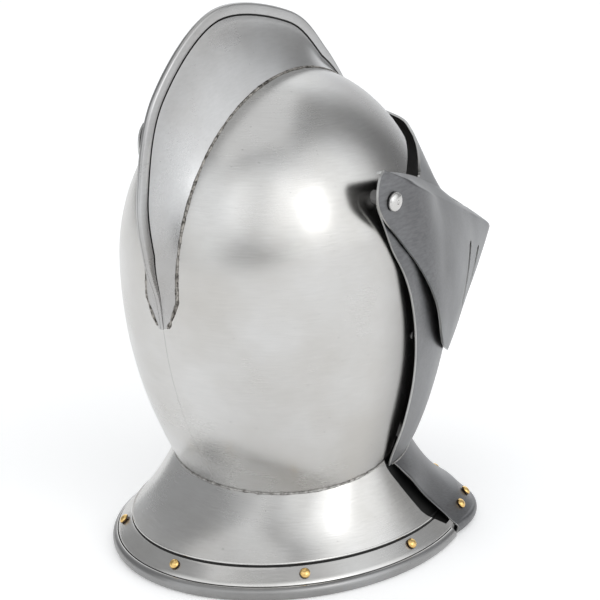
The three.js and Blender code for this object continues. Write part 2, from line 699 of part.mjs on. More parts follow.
for (const [name, side] of SIDES) {
  const outward = new THREE.Vector3(-side, 0, 0);
  const r = BOLT_RADIUS;
  const head = BOLT_HEAD;
  const boltProfile = [[0, -BOLT_LENGTH], [r - 0.6, -BOLT_LENGTH], [r, 0.6 - BOLT_LENGTH], [r, 0], [head, 0],
    [head, 0.7], [head * 0.85, 2], [head * 0.5, 3.1], [0, 3.5]];
  add(`pivot_bolt_${name}`, turned(boltProfile, pivotAt(side * BOLT_SEAT), outward, 12), STEEL_BRIGHT);
  const washer = [[r + GAP, 0], [6, 0], [6, 0.7], [r + GAP, 0.7]];
  add(`friction_washer_${name}`, turned(washer, pivotAt(side * WASHER_SEAT), outward, 12), STEEL_DARK);
  const nut = turned([[0, 0], [6, 0], [6, -3.4], [0, -3.4]], pivotAt(side * NUT_SEAT), outward, 6);
  add(`pivot_nut_${name}`, cut(nut, [pivotHole]), STEEL_DARK);

  // The spacer's inner end follows the skull.
  const skullPatch = (u, v) => {
    const [forward, right, up] = domePoint(lerp(0.36, 0.56, u) * Math.PI, lerp(230, 266, v), GAP);
    return at(forward, side * right, up);
  };
  const rod = turned([[0, 0], [4.8, 0], [4.8, -COLLAR_LENGTH], [0, -COLLAR_LENGTH]],
    pivotAt(side * COLLAR_SEAT), outward, 12);
  add(`pivot_collar_${name}`, cut(rod, [pivotHole, plate(skullPatch, 6, 5, COLLAR_LENGTH)]), STEEL_DARK);
}

// ---- the lining: headband, six crown tongues, a lace ring and the clips that hold them ----
const LINER_SHARE = 0.925;    // the lining follows the skull at this share of its size
const BAND_LOW = 255;
const BAND_HIGH = 275;

function linerPoint(angle, up) {
  const [forward, right] = domePoint(angle, DOME_LEVEL + (up - DOME_LEVEL) / LINER_SHARE);
  return at(forward * LINER_SHARE, right * LINER_SHARE, up);
}

const bandSurface = (u, v) => linerPoint(u * 2 * Math.PI, lerp(BAND_LOW, BAND_HIGH, v));
add('liner_headband', plate(bandSurface, 28, 1, 2.6, true), LEATHER);

const TONGUES = 6;
const LINER_RISE = DOME_RISE * LINER_SHARE;
for (let k = 0; k < TONGUES; k += 1) {
  const middle = (k + 0.5) * 2 * Math.PI / TONGUES;
  const surface = (u, v) => {
    const climb = lerp(Math.asin((BAND_HIGH + 0.8 - DOME_LEVEL) / LINER_RISE), 1.37, v);
    const width = lerp(56, 12, v ** 1.4);
    const reach = 100 * Math.cos(climb);
    const angle = middle + (u - 0.5) * Math.min(width / reach, 0.98);
    return linerPoint(angle, DOME_LEVEL + LINER_RISE * Math.sin(climb));
  };
  add(`crown_tongue_${k + 1}`, plate(surface, 4, 5, 2.2), CANVAS);
}
const laceRing = new THREE.TorusGeometry(14, 1.5, 6, 14)
  .translate(0, MIDDLE, DOME_LEVEL - FLOOR + LINER_RISE * 0.975);
add('crown_lace', laceRing, LEATHER);

const CLIP_ANGLES = [35, 85, -35, -85].map((degrees) => degrees * Math.PI / 180);
const CLIP_LOW = 261;
const CLIP_HIGH = 271;
CLIP_ANGLES.forEach((angle, k) => {
  const clipSurface = (u, v) => {
    const up = lerp(CLIP_LOW, CLIP_HIGH, v);
    const [forward, right] = domePoint(angle + (u - 0.5) * 0.11, up, -3.6);
    return at(forward, right, up);
  };
  add(`liner_clip_${k + 1}`, plate(clipSurface, 2, 1, 1.6), STEEL_DARK);
});

// ---- chin strap and buckle ----
const STRAP_WIDTH = 20;
const STRAP_THICK = 2.4;
const BUCKLE_UP = 72;
const BAR_RADIUS = 1.3;
const BAR_RIGHT = 11.5;       // bar that carries the prong
const BAR_LEFT = -8.5;        // bar that the prong rests on
const FRAME_HALF = 12;

// Ribbon of one width along a (right, up) path.
function ribbon(path, steps) {
  const front = [];
  const back = [];
  for (let i = 0; i <= steps; i += 1) {
    const [right, up] = spline(path, i / steps);
    const ahead = spline(path, Math.min(i / steps + 0.01, 1));
    const behind = spline(path, Math.max(i / steps - 0.01, 0));
    const run = new THREE.Vector2(ahead[0] - behind[0], ahead[1] - behind[1]).normalize();
    const side = [run.y * STRAP_THICK / 2, -run.x * STRAP_THICK / 2];
    const half = STRAP_WIDTH / 2;
    const line = (sign) => [STRAP_FORWARD - half, STRAP_FORWARD + half]
      .map((forward) => at(forward, right + sign * side[0], up + sign * side[1]));
    front.push(line(1));
    back.push(line(-1));
  }
  return skin(front, back);
}

const STRAP_TOP = [[86.6, 160], [85.8, 151], [84.5, 140], [81, 120], [72, 99], [56, 84], [38, 76]];
const rightPath = [...STRAP_TOP, [17, BUCKLE_UP]];
const leftPath = [...STRAP_TOP, [20, 74.9], [-4, 74.9]].map(([right, up]) => [-right, up]);

function crossBar(right, radius) {
  const bar = new THREE.CylinderGeometry(radius, radius, 2 * FRAME_HALF, 8);
  return moved(bar, at(STRAP_FORWARD, right, BUCKLE_UP));
}

const loopBlock = moved(new THREE.BoxGeometry(13, STRAP_WIDTH, 7.2), at(STRAP_FORWARD, 12.5, BUCKLE_UP));
const prongNotch = moved(new THREE.BoxGeometry(11, 3.6, 20), at(STRAP_FORWARD, 10, BUCKLE_UP));
const strapRight = join([ribbon(rightPath, 14), loopBlock]);
const strapRightCutters = [crossBar(BAR_RIGHT, BAR_RADIUS + GAP), prongNotch, ...strapHoles];
add('chin_strap_right', cut(strapRight, strapRightCutters), LEATHER);
add('chin_strap_left', cut(ribbon(leftPath, 16), strapHoles), LEATHER);
SIDES.forEach(([name], k) => {
  const { point, normal } = strapRivetPlaces[k];
  const tail = [[0, -9], [2, -9], [2.6, -8.5], [2.6, -7.7], [1.4, -7.7]];
  const head = [[1.4, GAP], [3, GAP], [2.4, 1.2], [0, 1.5]];
  add(`strap_rivet_${name}`, turned([...tail, ...head], point, normal, 10), STEEL_DARK);
});

const corners = [];
const sideBars = [-1, 1].map((end) => {
  const forward = STRAP_FORWARD + end * FRAME_HALF;
  for (const right of [BAR_LEFT, BAR_RIGHT]) {
    corners.push(moved(new THREE.SphereGeometry(BAR_RADIUS, 8, 6), at(forward, right, BUCKLE_UP)));
  }
  const bar = new THREE.CylinderGeometry(BAR_RADIUS, BAR_RADIUS, BAR_RIGHT - BAR_LEFT, 8);
  return moved(bar.rotateZ(Math.PI / 2), at(forward, (BAR_RIGHT + BAR_LEFT) / 2, BUCKLE_UP));
});
const crossBars = [BAR_LEFT, BAR_RIGHT].map((right) => crossBar(right, BAR_RADIUS));
add('buckle_frame', join([...crossBars, ...sideBars, ...corners]), BRASS);

const prongEye = turned([[BAR_RADIUS + GAP, -1.3], [3, -1.3], [3, 1.3], [BAR_RADIUS + GAP, 1.3]],
  at(STRAP_FORWARD, BAR_RIGHT, BUCKLE_UP), new THREE.Vector3(0, 1, 0), 16);
const fingerUp = BUCKLE_UP - BAR_RADIUS - GAP - 0.7;
const prongFinger = moved(new THREE.BoxGeometry(21, 2.2, 1.2), at(STRAP_FORWARD, 0.9, fingerUp));
add('buckle_prong', join([prongEye, prongFinger]), BRASS);

export default helmet;
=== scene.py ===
"""Looks of the close helmet: fine steel shells, welds, rivets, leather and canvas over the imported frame."""
from contextlib import contextmanager
import math

import bmesh
import bpy
import numpy as np
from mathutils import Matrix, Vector
from numpy.linalg import norm

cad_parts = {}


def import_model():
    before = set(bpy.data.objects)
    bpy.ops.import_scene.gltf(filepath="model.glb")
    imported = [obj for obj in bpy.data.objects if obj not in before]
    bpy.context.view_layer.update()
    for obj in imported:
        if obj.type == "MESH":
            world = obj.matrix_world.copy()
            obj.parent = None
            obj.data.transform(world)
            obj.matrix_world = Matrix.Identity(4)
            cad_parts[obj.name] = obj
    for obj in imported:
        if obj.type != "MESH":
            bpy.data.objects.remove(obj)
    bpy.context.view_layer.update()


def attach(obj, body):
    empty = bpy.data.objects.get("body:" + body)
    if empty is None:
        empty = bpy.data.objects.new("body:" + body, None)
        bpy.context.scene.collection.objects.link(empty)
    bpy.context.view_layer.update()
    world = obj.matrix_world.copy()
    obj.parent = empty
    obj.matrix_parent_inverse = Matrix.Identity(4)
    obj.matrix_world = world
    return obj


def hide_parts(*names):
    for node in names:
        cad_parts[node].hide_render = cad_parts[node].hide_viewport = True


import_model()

# ---- the helmet's dimensions, in millimetres: forward, right and up ----
SHEET = 1.6
MIDDLE = 37.75
FLOOR = -2.3
DOME_BACK, DOME_FRONT, DOME_HALF, DOME_LEVEL, DOME_RISE = 115.9, 101.6, 96.0, 199.3, 118.9
NECK_LEVEL, NECK_BACK, NECK_FRONT, NECK_HALF = 60.0, 72.3, 66.0, 77.6
SEAM_LEVEL, SEAM_SLOPE = 60.5, 0.16
PIVOT_FORWARD, PIVOT_UP, EAR_RADIUS = -14.0, 248.0, 10.0
RIM_CENTRE, RIM_BACK, RIM_HALF, BEAD_SCALE, BEAD_UP = 12.3, 135.1, 110.7, 0.893, 20.4
BEVOR_STANDOFF, EAR_LEVEL, BEVOR_SEAM = 3.0, 216.0, 58.0
FRONT_CENTRE, FRONT_LENGTH, FRONT_HALF, FRONT_LIFT, SQUARENESS = 44.0, 86.0, 102.0, 0.8, 3.0
FOLD_UP, FOLD_SLOPE, VISOR_SIDE = 259.5, -0.429, 100.9
PROW_CENTRE, PROW_RADIUS, PROW_SLOPE = 167.8, 42.0, 0.317
NOSE_DEPTH, VISOR_DEPTH, SIDE_SWELL, PROW_SWELL = 82.0, 106.0, 7.6, 4.2
CHIN_LENGTH, CHIN_HALF, CHIN_POINT = 127.3, 106.5, 1.65
BOLT_SEAT = 101.3
SIDES = (("right", 1), ("left", -1))
INSIDE_SKULL, INSIDE_BEVOR, INSIDE_VISOR, INSIDE_GORGET = (0, 0, 180), (30, 0, 150), (60, 0, 180), (25, 0, 60)
HALF_GAP = 0.05
BEVEL, SHARP_TURN = 0.35, 50
MERGE_REACH = 2e-6  # metres between points that become one
HALVINGS = 18


def world(points):
    """(forward, right, up) in millimetres to the shared frame in metres."""
    p = np.asarray(points, float)
    return np.stack([-p[..., 1], MIDDLE - p[..., 0], p[..., 2] - FLOOR], axis=-1) / 1000


def unit(value):
    return np.clip(value, 0, 1)


def spline(points, share):
    """Smooth curve through points, at one share or an array of them."""
    p = np.asarray(points, float)
    last = len(p) - 1
    place = unit(np.asarray(share, float)) * last
    i = np.minimum(place.astype(int), last - 1)
    t = (place - i)[..., None]
    a, b, c, d = (p[np.clip(i + k, 0, last)] for k in (-1, 0, 1, 2))
    return 0.5 * (2 * b + (c - a) * t + (2 * a - 5 * b + 4 * c - d) * t**2 + (3 * b - a - 3 * c + d) * t**3)


def smooth_line(points, steps):
    return spline(points, np.linspace(0, 1, steps + 1))


def turn(count):
    """Angles of a full turn, without its end."""
    return np.linspace(0, 2 * np.pi, count + 1)[:-1]


def outside(outline, forward, up):
    """Signed distance to a closed (forward, up) outline: positive outside it."""
    line = np.asarray(outline, float)
    q = np.stack([forward, up], axis=-1)
    best = np.full(q.shape[:-1], 1e9)
    inside = np.zeros(q.shape[:-1], bool)
    for a, b in zip(line, np.roll(line, -1, axis=0)):
        run = b - a
        t = unit(((q - a) @ run) / max(run @ run, 1e-12))
        best = np.minimum(best, norm(q - a - t[..., None] * run, axis=-1))
        crosses = (a[1] > q[..., 1]) != (b[1] > q[..., 1])
        with np.errstate(divide="ignore", invalid="ignore"):
            edge = a[0] + (q[..., 1] - a[1]) * run[0] / run[1]
        inside ^= crosses & (q[..., 0] < edge)
    return np.where(inside, -best, best)


# ---- sheets: a fine grid over a surface, trimmed to an outline ----
def trimmed(surface, keep, us, vs):
    """Grid points and faces of a surface where keep() is positive, with the rim snapped onto the outline."""
    u, v = np.meshgrid(us, vs, indexing="ij")
    level = keep(surface(u, v), u, v)
    kept = level > 0
    snap = {}
    for di, dj in ((1, 0), (0, 1)):
        i, j = np.nonzero(kept[:-1] != kept[1:] if di else kept[:, :-1] != kept[:, 1:])
        if not len(i):
            continue
        ua, va, ub, vb = u[i, j], v[i, j], u[i + di, j + dj], v[i + di, j + dj]
        sign = np.sign(level[i, j])
        low, high = np.zeros(len(i)), np.ones(len(i))
        for _ in range(HALVINGS):
            t = (low + high) / 2
            uu, vv = ua + (ub - ua) * t, va + (vb - va) * t
            here = keep(surface(uu, vv), uu, vv)
            same = np.sign(here) == sign
            low, high = np.where(same, t, low), np.where(same, high, t)
        for k in range(len(i)):
            t = low[k]
            first = t < 0.5
            spot = (i[k], j[k]) if first else (i[k] + di, j[k] + dj)
            shift = t if first else 1 - t
            if shift < snap.get(spot, (9,))[0]:
                snap[spot] = (shift, ua[k] + (ub[k] - ua[k]) * t, va[k] + (vb[k] - va[k]) * t)
    state = np.sign(level).astype(int)
    for (i, j), (_, uu, vv) in snap.items():
        u[i, j], v[i, j], state[i, j] = uu, vv, 0
    points = surface(u, v)
    rows, columns = u.shape
    faces, stations = [], []
    for i in range(rows - 1):
        for j in range(columns - 1):
            corners = [(i, j), (i + 1, j), (i + 1, j + 1), (i, j + 1)]
            kinds = [state[c] for c in corners]
            if min(kinds) < 0:
                corners = [c for c, k in zip(corners, kinds) if k >= 0]
            if len(corners) >= 3 and max(kinds) > 0:
                faces.append([a * columns + b for a, b in corners])
                stations.append(j)
    return points.reshape(-1, 3), faces, stations


def add_object(name, data):
    thing = bpy.data.objects.new(name, data)
    bpy.context.scene.collection.objects.link(thing)
    return thing


@contextmanager
def editing(mesh):
    work = bmesh.new()
    work.from_mesh(mesh)
    yield work
    work.to_mesh(mesh)
    work.free()


def new_piece(name, points, faces, body, slot, material, stands_for=(), marks=None):
    mesh = bpy.data.meshes.new(name)
    mesh.from_pydata([tuple(p) for p in world(points)], [], faces)
    if marks:
        mesh.polygons.foreach_set("material_index", marks)
    with editing(mesh) as work:
        bmesh.ops.remove_doubles(work, verts=work.verts, dist=MERGE_REACH)
        bmesh.ops.delete(work, geom=[v for v in work.verts if not v.link_faces], context="VERTS")
        bmesh.ops.dissolve_degenerate(work, edges=work.edges, dist=MERGE_REACH / 2)
    mesh.polygons.foreach_set("use_smooth", [True] * len(mesh.polygons))
    piece = add_object(name, mesh)
    mesh.materials.append(material)
    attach(piece, body)
    if stands_for:
        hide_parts(*stands_for)
    return piece


def face_out(piece, centre):
    """Turn every face of an open sheet away from a point."""
    middle = Vector(world(centre))
    with editing(piece.data) as work:
        bmesh.ops.recalc_face_normals(work, faces=work.faces)
        lean = sum((f.calc_center_median() - middle).dot(f.normal) * f.calc_area() for f in work.faces)
        if lean < 0:
            bmesh.ops.reverse_faces(work, faces=work.faces)


def thicken(piece, thickness, bevel, lined=True):
    """Give a sheet its thickness and rounded edges; a lined one gets darker steel inside as painted shade and
    lighter steel on the rim as a painted highlight.
    """
    solid = piece.modifiers.new("plate", "SOLIDIFY")
    solid.thickness = thickness / 1000
    solid.offset = -1
    if lined:
        start = len(piece.data.materials)
        piece.data.materials.append(SHADED_INSIDE)
        piece.data.materials.append(EDGE_HIGHLIGHT)
        solid.material_offset = start
        solid.material_offset_rim = start + 1
    edge = piece.modifiers.new("edge", "BEVEL")
    edge.width = bevel / 1000
    edge.segments = 2
    edge.limit_method = "ANGLE"
    edge.angle_limit = math.radians(SHARP_TURN)
    weight = piece.modifiers.new("normals", "WEIGHTED_NORMAL")
    weight.keep_sharp = True


def plate(name, surface, keep, us, vs, centre, *details, thickness=SHEET, bevel=BEVEL, lined=True, mark=None):
    """A plate trimmed from a surface; mark gives a face's finish from its row: 0 own, 1 black as painted
    shade, 2 the rolled rim's darker steel as painted shade.
    """
    points, faces, rows = trimmed(surface, keep, us, vs)
    piece = new_piece(name, points, faces, *details, marks=mark and [mark(row) for row in rows])
    for finish in (SHADE_BLACK, ROLLED_RIM_SHADE) if mark else ():
        piece.data.materials.append(finish)
    face_out(piece, centre)
    thicken(piece, thickness, bevel, lined)


def swept(sections, closed_profile=True, closed_path=False):
    """Points and faces of profiles laid side by side, capped where a closed profile's path is open."""
    rows, size = sections.shape[:2]
    faces = []
    for i in range(rows if closed_path else rows - 1):
        for j in range(size if closed_profile else size - 1):
            a, b = i * size + j, i * size + (j + 1) % size
            c, d = (i + 1) % rows * size + (j + 1) % size, (i + 1) % rows * size + j
            faces.append([a, b, c, d])
    if closed_profile and not closed_path:
        faces.append(list(range(size))[::-1])
        faces.append([(rows - 1) * size + j for j in range(size)])
    return sections.reshape(-1, 3), faces


def solid_piece(name, shape, *details):
    """A closed piece from the points and faces that swept() gives."""
    piece = new_piece(name, *shape, *details)
    with editing(piece.data) as work:
        bmesh.ops.recalc_face_normals(work, faces=work.faces)
    return piece


def sharpen(piece, degrees):
    """Mark the edges that turn more than an angle."""
    with editing(piece.data) as work:
        for e in work.edges:
            if len(e.link_faces) == 2 and e.calc_face_angle(0) > math.radians(degrees):
                e.smooth = False


# ---- materials ----
def nodes_of(name, metallic=0):
    material = bpy.data.materials.new(name)
    material.use_nodes = True
    tree = material.node_tree
    shader = tree.nodes["Principled BSDF"]
    put(shader, Metallic=metallic)
    return material, tree, shader


def put(node, **values):
    for socket, value in values.items():
        node.inputs[socket].default_value = value


def eased(tree, source, *limits):
    """A smooth step of a value, from two limits to two results."""
    spread = tree.nodes.new("ShaderNodeMapRange")
    spread.interpolation_type = "SMOOTHSTEP"
    for socket, value in zip(spread.inputs[1:5], limits):
        socket.default_value = value
    tree.links.new(source, spread.inputs[0])
    return spread.outputs[0]


def own_place(tree):
    return tree.nodes.new("ShaderNodeTexCoord").outputs["Object"]


def join(tree, socket, value):
    """Link a socket to another one, or give it a number."""
    if isinstance(value, bpy.types.NodeSocket):
        tree.links.new(value, socket)
    else:
        socket.default_value = value


def plug(tree, shader, colour, rough, normal):
    for name, value in (("Base Color", colour), ("Roughness", rough), ("Normal", normal)):
        join(tree, shader.inputs[name], value)


def noise(tree, scale, detail=3.0, rough=0.5, stretch=(1, 1, 1)):
    mapping = tree.nodes.new("ShaderNodeMapping")
    put(mapping, Scale=stretch)
    texture = tree.nodes.new("ShaderNodeTexNoise")
    put(texture, Scale=scale, Detail=detail, Roughness=rough)
    tree.links.new(own_place(tree), mapping.inputs["Vector"])
    tree.links.new(mapping.outputs["Vector"], texture.inputs["Vector"])
    return texture.outputs["Fac"]


def ramp(tree, source, stops):
    node = tree.nodes.new("ShaderNodeValToRGB")
    while len(node.color_ramp.elements) < len(stops):
        node.color_ramp.elements.new(0.5)
    for element, (place, colour) in zip(node.color_ramp.elements, stops):
        element.position = place
        element.color = (*colour, 1) if hasattr(colour, "__len__") else (colour, colour, colour, 1)
    tree.links.new(source, node.inputs["Fac"])
    return node.outputs["Color"]


def mix(tree, share, a, b, kind="MIX"):
    node = tree.nodes.new("ShaderNodeMix")
    node.data_type = "RGBA"
    node.blend_type = kind
    for k, value in ((0, share), (6, a), (7, b)):
        join(tree, node.inputs[k], value)
    return node.outputs[2]


def times(tree, a, b):
    return mix(tree, 1.0, a, b, "MULTIPLY")


def bump(tree, source, distance, below=None):
    node = tree.nodes.new("ShaderNodeBump")
    put(node, Strength=1, Distance=distance)
    tree.links.new(source, node.inputs["Height"])
    if below is not None:
        tree.links.new(below, node.inputs["Normal"])
    return node.outputs["Normal"]


WAVE_DEPTH, BRUSH_DEPTH = 0.0011, 0.000012  # metres


def steel(name, light, dark, smoothness, roughest, brush=(1, 1, 1), depth=0.93, shading_paint=None):
    """Hand-polished plate: soft waves left by the hammer, fine brushing, tarnish and small pits, and painted
    shade where given.
    """
    material, tree, shader = nodes_of(name, 1)
    tint = ramp(tree, noise(tree, 11, 5, 0.55), [(0.34, dark), (0.64, light)])
    fine = noise(tree, 1900, 3, 0.6, brush)
    tint = times(tree, tint, ramp(tree, fine, [(0.3, depth), (0.7, 1.0)]))
    pits = ramp(tree, noise(tree, 520, 2, 0.6), [(0.235, 0.45), (0.26, 1.0)])
    tint = times(tree, tint, pits)
    if shading_paint:
        tint = times(tree, tint, shading_paint(tree))
    both = mix(tree, 0.25, noise(tree, 17, 3, 0.5), fine)
    rough = ramp(tree, both, [(0.3, smoothness), (0.7, roughest)])
    wavy = bump(tree, noise(tree, 15, 2, 0.4), WAVE_DEPTH)
    plug(tree, shader, tint, rough, bump(tree, fine, BRUSH_DEPTH, wavy))
    return material


def painted_face_shade(tree):
    """Painted shade: the skull's steel darker along the face opening under the bevor and visor, fading over
    the cheek.
    """
    split = tree.nodes.new("ShaderNodeSeparateXYZ")
    tree.links.new(own_place(tree), split.inputs["Vector"])
    spread = eased(tree, split.outputs["Y"], 0.012, 0.062, 0, 1)
    return ramp(tree, spread, [(0.0, (0.56, 0.56, 0.57)), (1.0, (1.0, 1.0, 1.0))])


SKULL_BRUSH, SATIN_BRUSH = (0.05, 0.05, 1), (1, 0.08, 0.35)
BRIGHT = steel("steel_polished", (0.66, 0.655, 0.645), (0.56, 0.545, 0.52), 0.20, 0.30, SKULL_BRUSH)
# The skull's steel darkens towards the face opening: painted shade.
SKULL = steel("steel_skull", (0.62, 0.615, 0.605), (0.53, 0.515, 0.49), 0.20, 0.30, SKULL_BRUSH, shading_paint=painted_face_shade)
COMB = steel("steel_comb", (0.50, 0.50, 0.50), (0.41, 0.40, 0.39), 0.24, 0.36, (1, 0.05, 0.3))
# Darker steel on the rear gorget's rolled rim: painted shade.
ROLLED_RIM_SHADE = steel("steel_rolled_rim_painted_shade", (0.36, 0.36, 0.36), (0.26, 0.255, 0.25), 0.26, 0.4)
SATIN = steel("steel_satin", (0.225, 0.228, 0.235), (0.165, 0.165, 0.17), 0.30, 0.44, SATIN_BRUSH, 0.72)
# Darker steel for the insides of plates and for fasteners in the gaps: painted shade.
SHADED_INSIDE = steel("steel_inside_painted_shade", (0.24, 0.238, 0.235), (0.15, 0.148, 0.145), 0.42, 0.6)
# Near-black steel for creases, grooves and gaps: painted shade.
SHADE_BLACK = steel("steel_black_painted_shade", (0.045, 0.044, 0.043), (0.02, 0.02, 0.02), 0.5, 0.65)
# Lighter steel on the cut edges: painted highlight.
EDGE_HIGHLIGHT = steel("steel_edge_painted_highlight", (0.62, 0.62, 0.61), (0.42, 0.42, 0.41), 0.25, 0.4)


def weld_metal(name, burnt, clean):
    material, tree, shader = nodes_of(name, 1)
    tint = ramp(tree, noise(tree, 300, 4, 0.7), [(0.38, burnt), (0.62, clean)])
    rough = ramp(tree, noise(tree, 500, 2), [(0.3, 0.28), (0.7, 0.6)])
    plug(tree, shader, tint, rough, bump(tree, noise(tree, 450, 3, 0.7), 0.0004))
    return material


def brass_metal(name, light, dark, rough):
    material, tree, shader = nodes_of(name, 1)
    tint = ramp(tree, noise(tree, 260, 4, 0.6), [(0.3, dark), (0.6, light)])
    patchy = ramp(tree, noise(tree, 260, 3), [(0.3, rough), (0.7, rough + 0.12)])
    plug(tree, shader, tint, patchy, bump(tree, noise(tree, 380, 3, 0.6), 0.00005))
    return material


def leather_hide():
    material, tree, shader = nodes_of("leather")
    base = ramp(tree, noise(tree, 45, 5, 0.6), [(0.3, (0.055, 0.026, 0.012)), (0.7, (0.17, 0.085, 0.04))])
    cells = tree.nodes.new("ShaderNodeTexVoronoi")
    put(cells, Scale=750)
    tree.links.new(own_place(tree), cells.inputs["Vector"])
    creases = ramp(tree, cells.outputs["Distance"], [(0.05, 0.55), (0.5, 1.0)])
    rough = ramp(tree, noise(tree, 90, 4), [(0.3, 0.42), (0.7, 0.7)])
    pores = bump(tree, cells.outputs["Distance"], 0.00022)
    plug(tree, shader, times(tree, base, creases), rough, bump(tree, noise(tree, 160, 4), 0.0003, pores))
    return material


def canvas_cloth():
    material, tree, shader = nodes_of("canvas")
    place = own_place(tree)
    threads = []
    for axis in ("X", "Y", "Z"):
        wave = tree.nodes.new("ShaderNodeTexWave")
        wave.bands_direction = axis
        put(wave, Scale=260, Distortion=1.2, Detail=1)
        tree.links.new(place, wave.inputs["Vector"])
        threads.append(wave.outputs["Fac"])
    weave = mix(tree, 0.5, mix(tree, 0.5, threads[0], threads[1]), threads[2])
    stain = ramp(tree, noise(tree, 30, 5, 0.6), [(0.3, (0.40, 0.33, 0.23)), (0.7, (0.66, 0.59, 0.46))])
    shade = ramp(tree, weave, [(0.2, 0.62), (0.7, 1.0)])
    shader.inputs["Sheen Weight"].default_value = 0.25
    shader.inputs["Sheen Roughness"].default_value = 0.5
    plug(tree, shader, times(tree, stain, shade), 0.9, bump(tree, weave, 0.0004))
    return material


def thread_wax():
    material, tree, shader = nodes_of("thread")
    tint = ramp(tree, noise(tree, 900, 2), [(0.3, (0.42, 0.33, 0.2)), (0.7, (0.68, 0.58, 0.4))])
    plug(tree, shader, tint, 0.7, bump(tree, noise(tree, 1500, 2), 0.0001))
    return material


WELD = weld_metal("steel_weld", (0.05, 0.045, 0.04), (0.42, 0.40, 0.37))
SOFT_WELD = weld_metal("steel_weld_dressed", (0.20, 0.19, 0.18), (0.56, 0.55, 0.53))
BRASS = brass_metal("brass", (0.86, 0.60, 0.24), (0.72, 0.46, 0.16), 0.14)
TARNISH = brass_metal("brass_tarnished", (0.20, 0.12, 0.06), (0.06, 0.04, 0.025), 0.45)
LEATHER = leather_hide()
CANVAS = canvas_cloth()
THREAD = thread_wax()


# ---- the skull ----
def half_size(full, neck, up):
    above = full * np.sqrt(np.maximum(0, 1 - ((up - DOME_LEVEL) / DOME_RISE) ** 2))
    below = full - (full - neck) * ((DOME_LEVEL - up) / (DOME_LEVEL - NECK_LEVEL)) ** 2
    return np.where(up >= DOME_LEVEL, above, below)


def dome(angle, up, standoff=0.0):
    behind = np.cos(angle) > 0
    length = np.where(behind, half_size(DOME_BACK, NECK_BACK, up), half_size(DOME_FRONT, NECK_FRONT, up))
    half = half_size(DOME_HALF, NECK_HALF, up)
    forward, right = -np.cos(angle) * (length + standoff), np.sin(angle) * (half + standoff)
    return np.stack([forward, right, up + 0 * angle], -1)


def dome_height(share):
    waist, foot = 0.45, 42
    low = foot + (DOME_LEVEL - foot) * share / waist
    high = DOME_LEVEL + DOME_RISE * np.sin((np.maximum(share, waist) - waist) / (1 - waist) * np.pi / 2)
    return np.where(share < waist, low, high)


FACE_EDGE = [(24, 56), (29, 110), (26, 165), (15, 212), (16, 245), (37, 263), (64, 271.5), (110, 272)]
FACE_CUT = [*smooth_line(FACE_EDGE, 40), (180, 272), (180, 20), (24, 20)]


def skull_keep(points, u, v):
    f, up = points[..., 0], points[..., 2]
    return np.minimum(outside(FACE_CUT, f, up), up - SEAM_LEVEL - SEAM_SLOPE * f)


for name, side in SIDES:
    def skull_surface(u, v, side=side):
        return dome(u * np.pi, dome_height(v)) * (1, side, 1) + (0, side * HALF_GAP, 0)
    plate(f"skull_plate_{name}", skull_surface, skull_keep, np.linspace(0, 1, 121), np.linspace(0, 1, 85),
          INSIDE_SKULL, "skull", "steel_polished", SKULL, (f"skull_{name}_half",))


# ---- the comb ----
COMB_EDGE = [(-116.2, 170), (-120, 190), (-129, 216), (-134, 258), (-119, 316), (-66, 361), (6, 352),
             (44, 322), (77, 279.5)]
COMB_FLARE, HEM_WIDTH, HEM_OFFSET, FOOT_GAP, HEM_BACK = 11.0, 8.0, 0.2, 0.15, 0.06
FLARE_POWER = 1.6


def comb_foot(edge, right):
    direction = math.atan2(edge[1] - DOME_LEVEL, edge[0])
    ends = (DOME_BACK, NECK_BACK) if edge[0] < 0 else (DOME_FRONT, NECK_FRONT)
    low, high = 60.0, 160.0
    for _ in range(30):
        reach = (low + high) / 2
        up = DOME_LEVEL + reach * math.sin(direction)
        length, half = half_size(*ends, up), half_size(DOME_HALF, NECK_HALF, up)
        covered = length > 0 and math.hypot(reach * math.cos(direction) / length, right / half) < 1
        low, high = (reach, high) if covered else (low, reach)
    reach = low + FOOT_GAP
    return np.array([reach * math.cos(direction), DOME_LEVEL + reach * math.sin(direction)])


def comb_flare(u):
    return COMB_FLARE * min(1, 0.15 + u / 0.14, 0.15 + (1 - u) / 0.16)


# The hem: millimetres in from the comb's edge, and millimetres proud of the plate's outer face.
HEM = ((7.7, -0.1), (7.5, -0.8), (7.0, -0.8), (6.8, 0.0), (6.4, 0.2), (4, 0.22), (1.6, 0.2), (0.8, 0.05),
       (0.25, -0.4), (0.0, -1.1), (0.0, -1.7))
# The line beside the hem is black steel: painted shade in the crease.
CREASE = (13, 14, 15)  # faces of a section that lie in the dark line beside the hem


def comb_section(u, side):
    edge = spline(COMB_EDGE, u)
    flare = comb_flare(u)
    foot = comb_foot(edge, HEM_OFFSET + flare)
    height = max(norm(edge - foot), 0.5)
    hem = min(HEM_WIDTH, height * 0.5)
    run = spline(COMB_EDGE, min(u + 0.004, 1)) - spline(COMB_EDGE, max(u - 0.004, 0))
    square = np.array([run[1], -run[0]]) / norm(run)
    ray = (foot - edge) / height
    inward = ray + (square - ray) * unit((height - 14) / 16)
    inward /= norm(inward)
    fold = edge + inward * hem
    face = HEM_OFFSET + SHEET
    line, back_line = [], []
    for climb in np.linspace(0, 1, 14):
        place = foot + (fold - foot) * climb
        right = face + flare * (1 - climb) ** FLARE_POWER
        line.append((place[0], side * right, place[1]))
        back_line.append((place[0], side * (right - SHEET), place[1]))
    hem_line = [(back, max(face + extra, HEM_BACK)) for back, extra in HEM]
    for back, right in hem_line + [(1, HEM_BACK), (7.5, HEM_BACK)]:
        place = edge + inward * back * hem / HEM_WIDTH
        line.append((place[0], side * right, place[1]))
    return line + back_line[::-1]


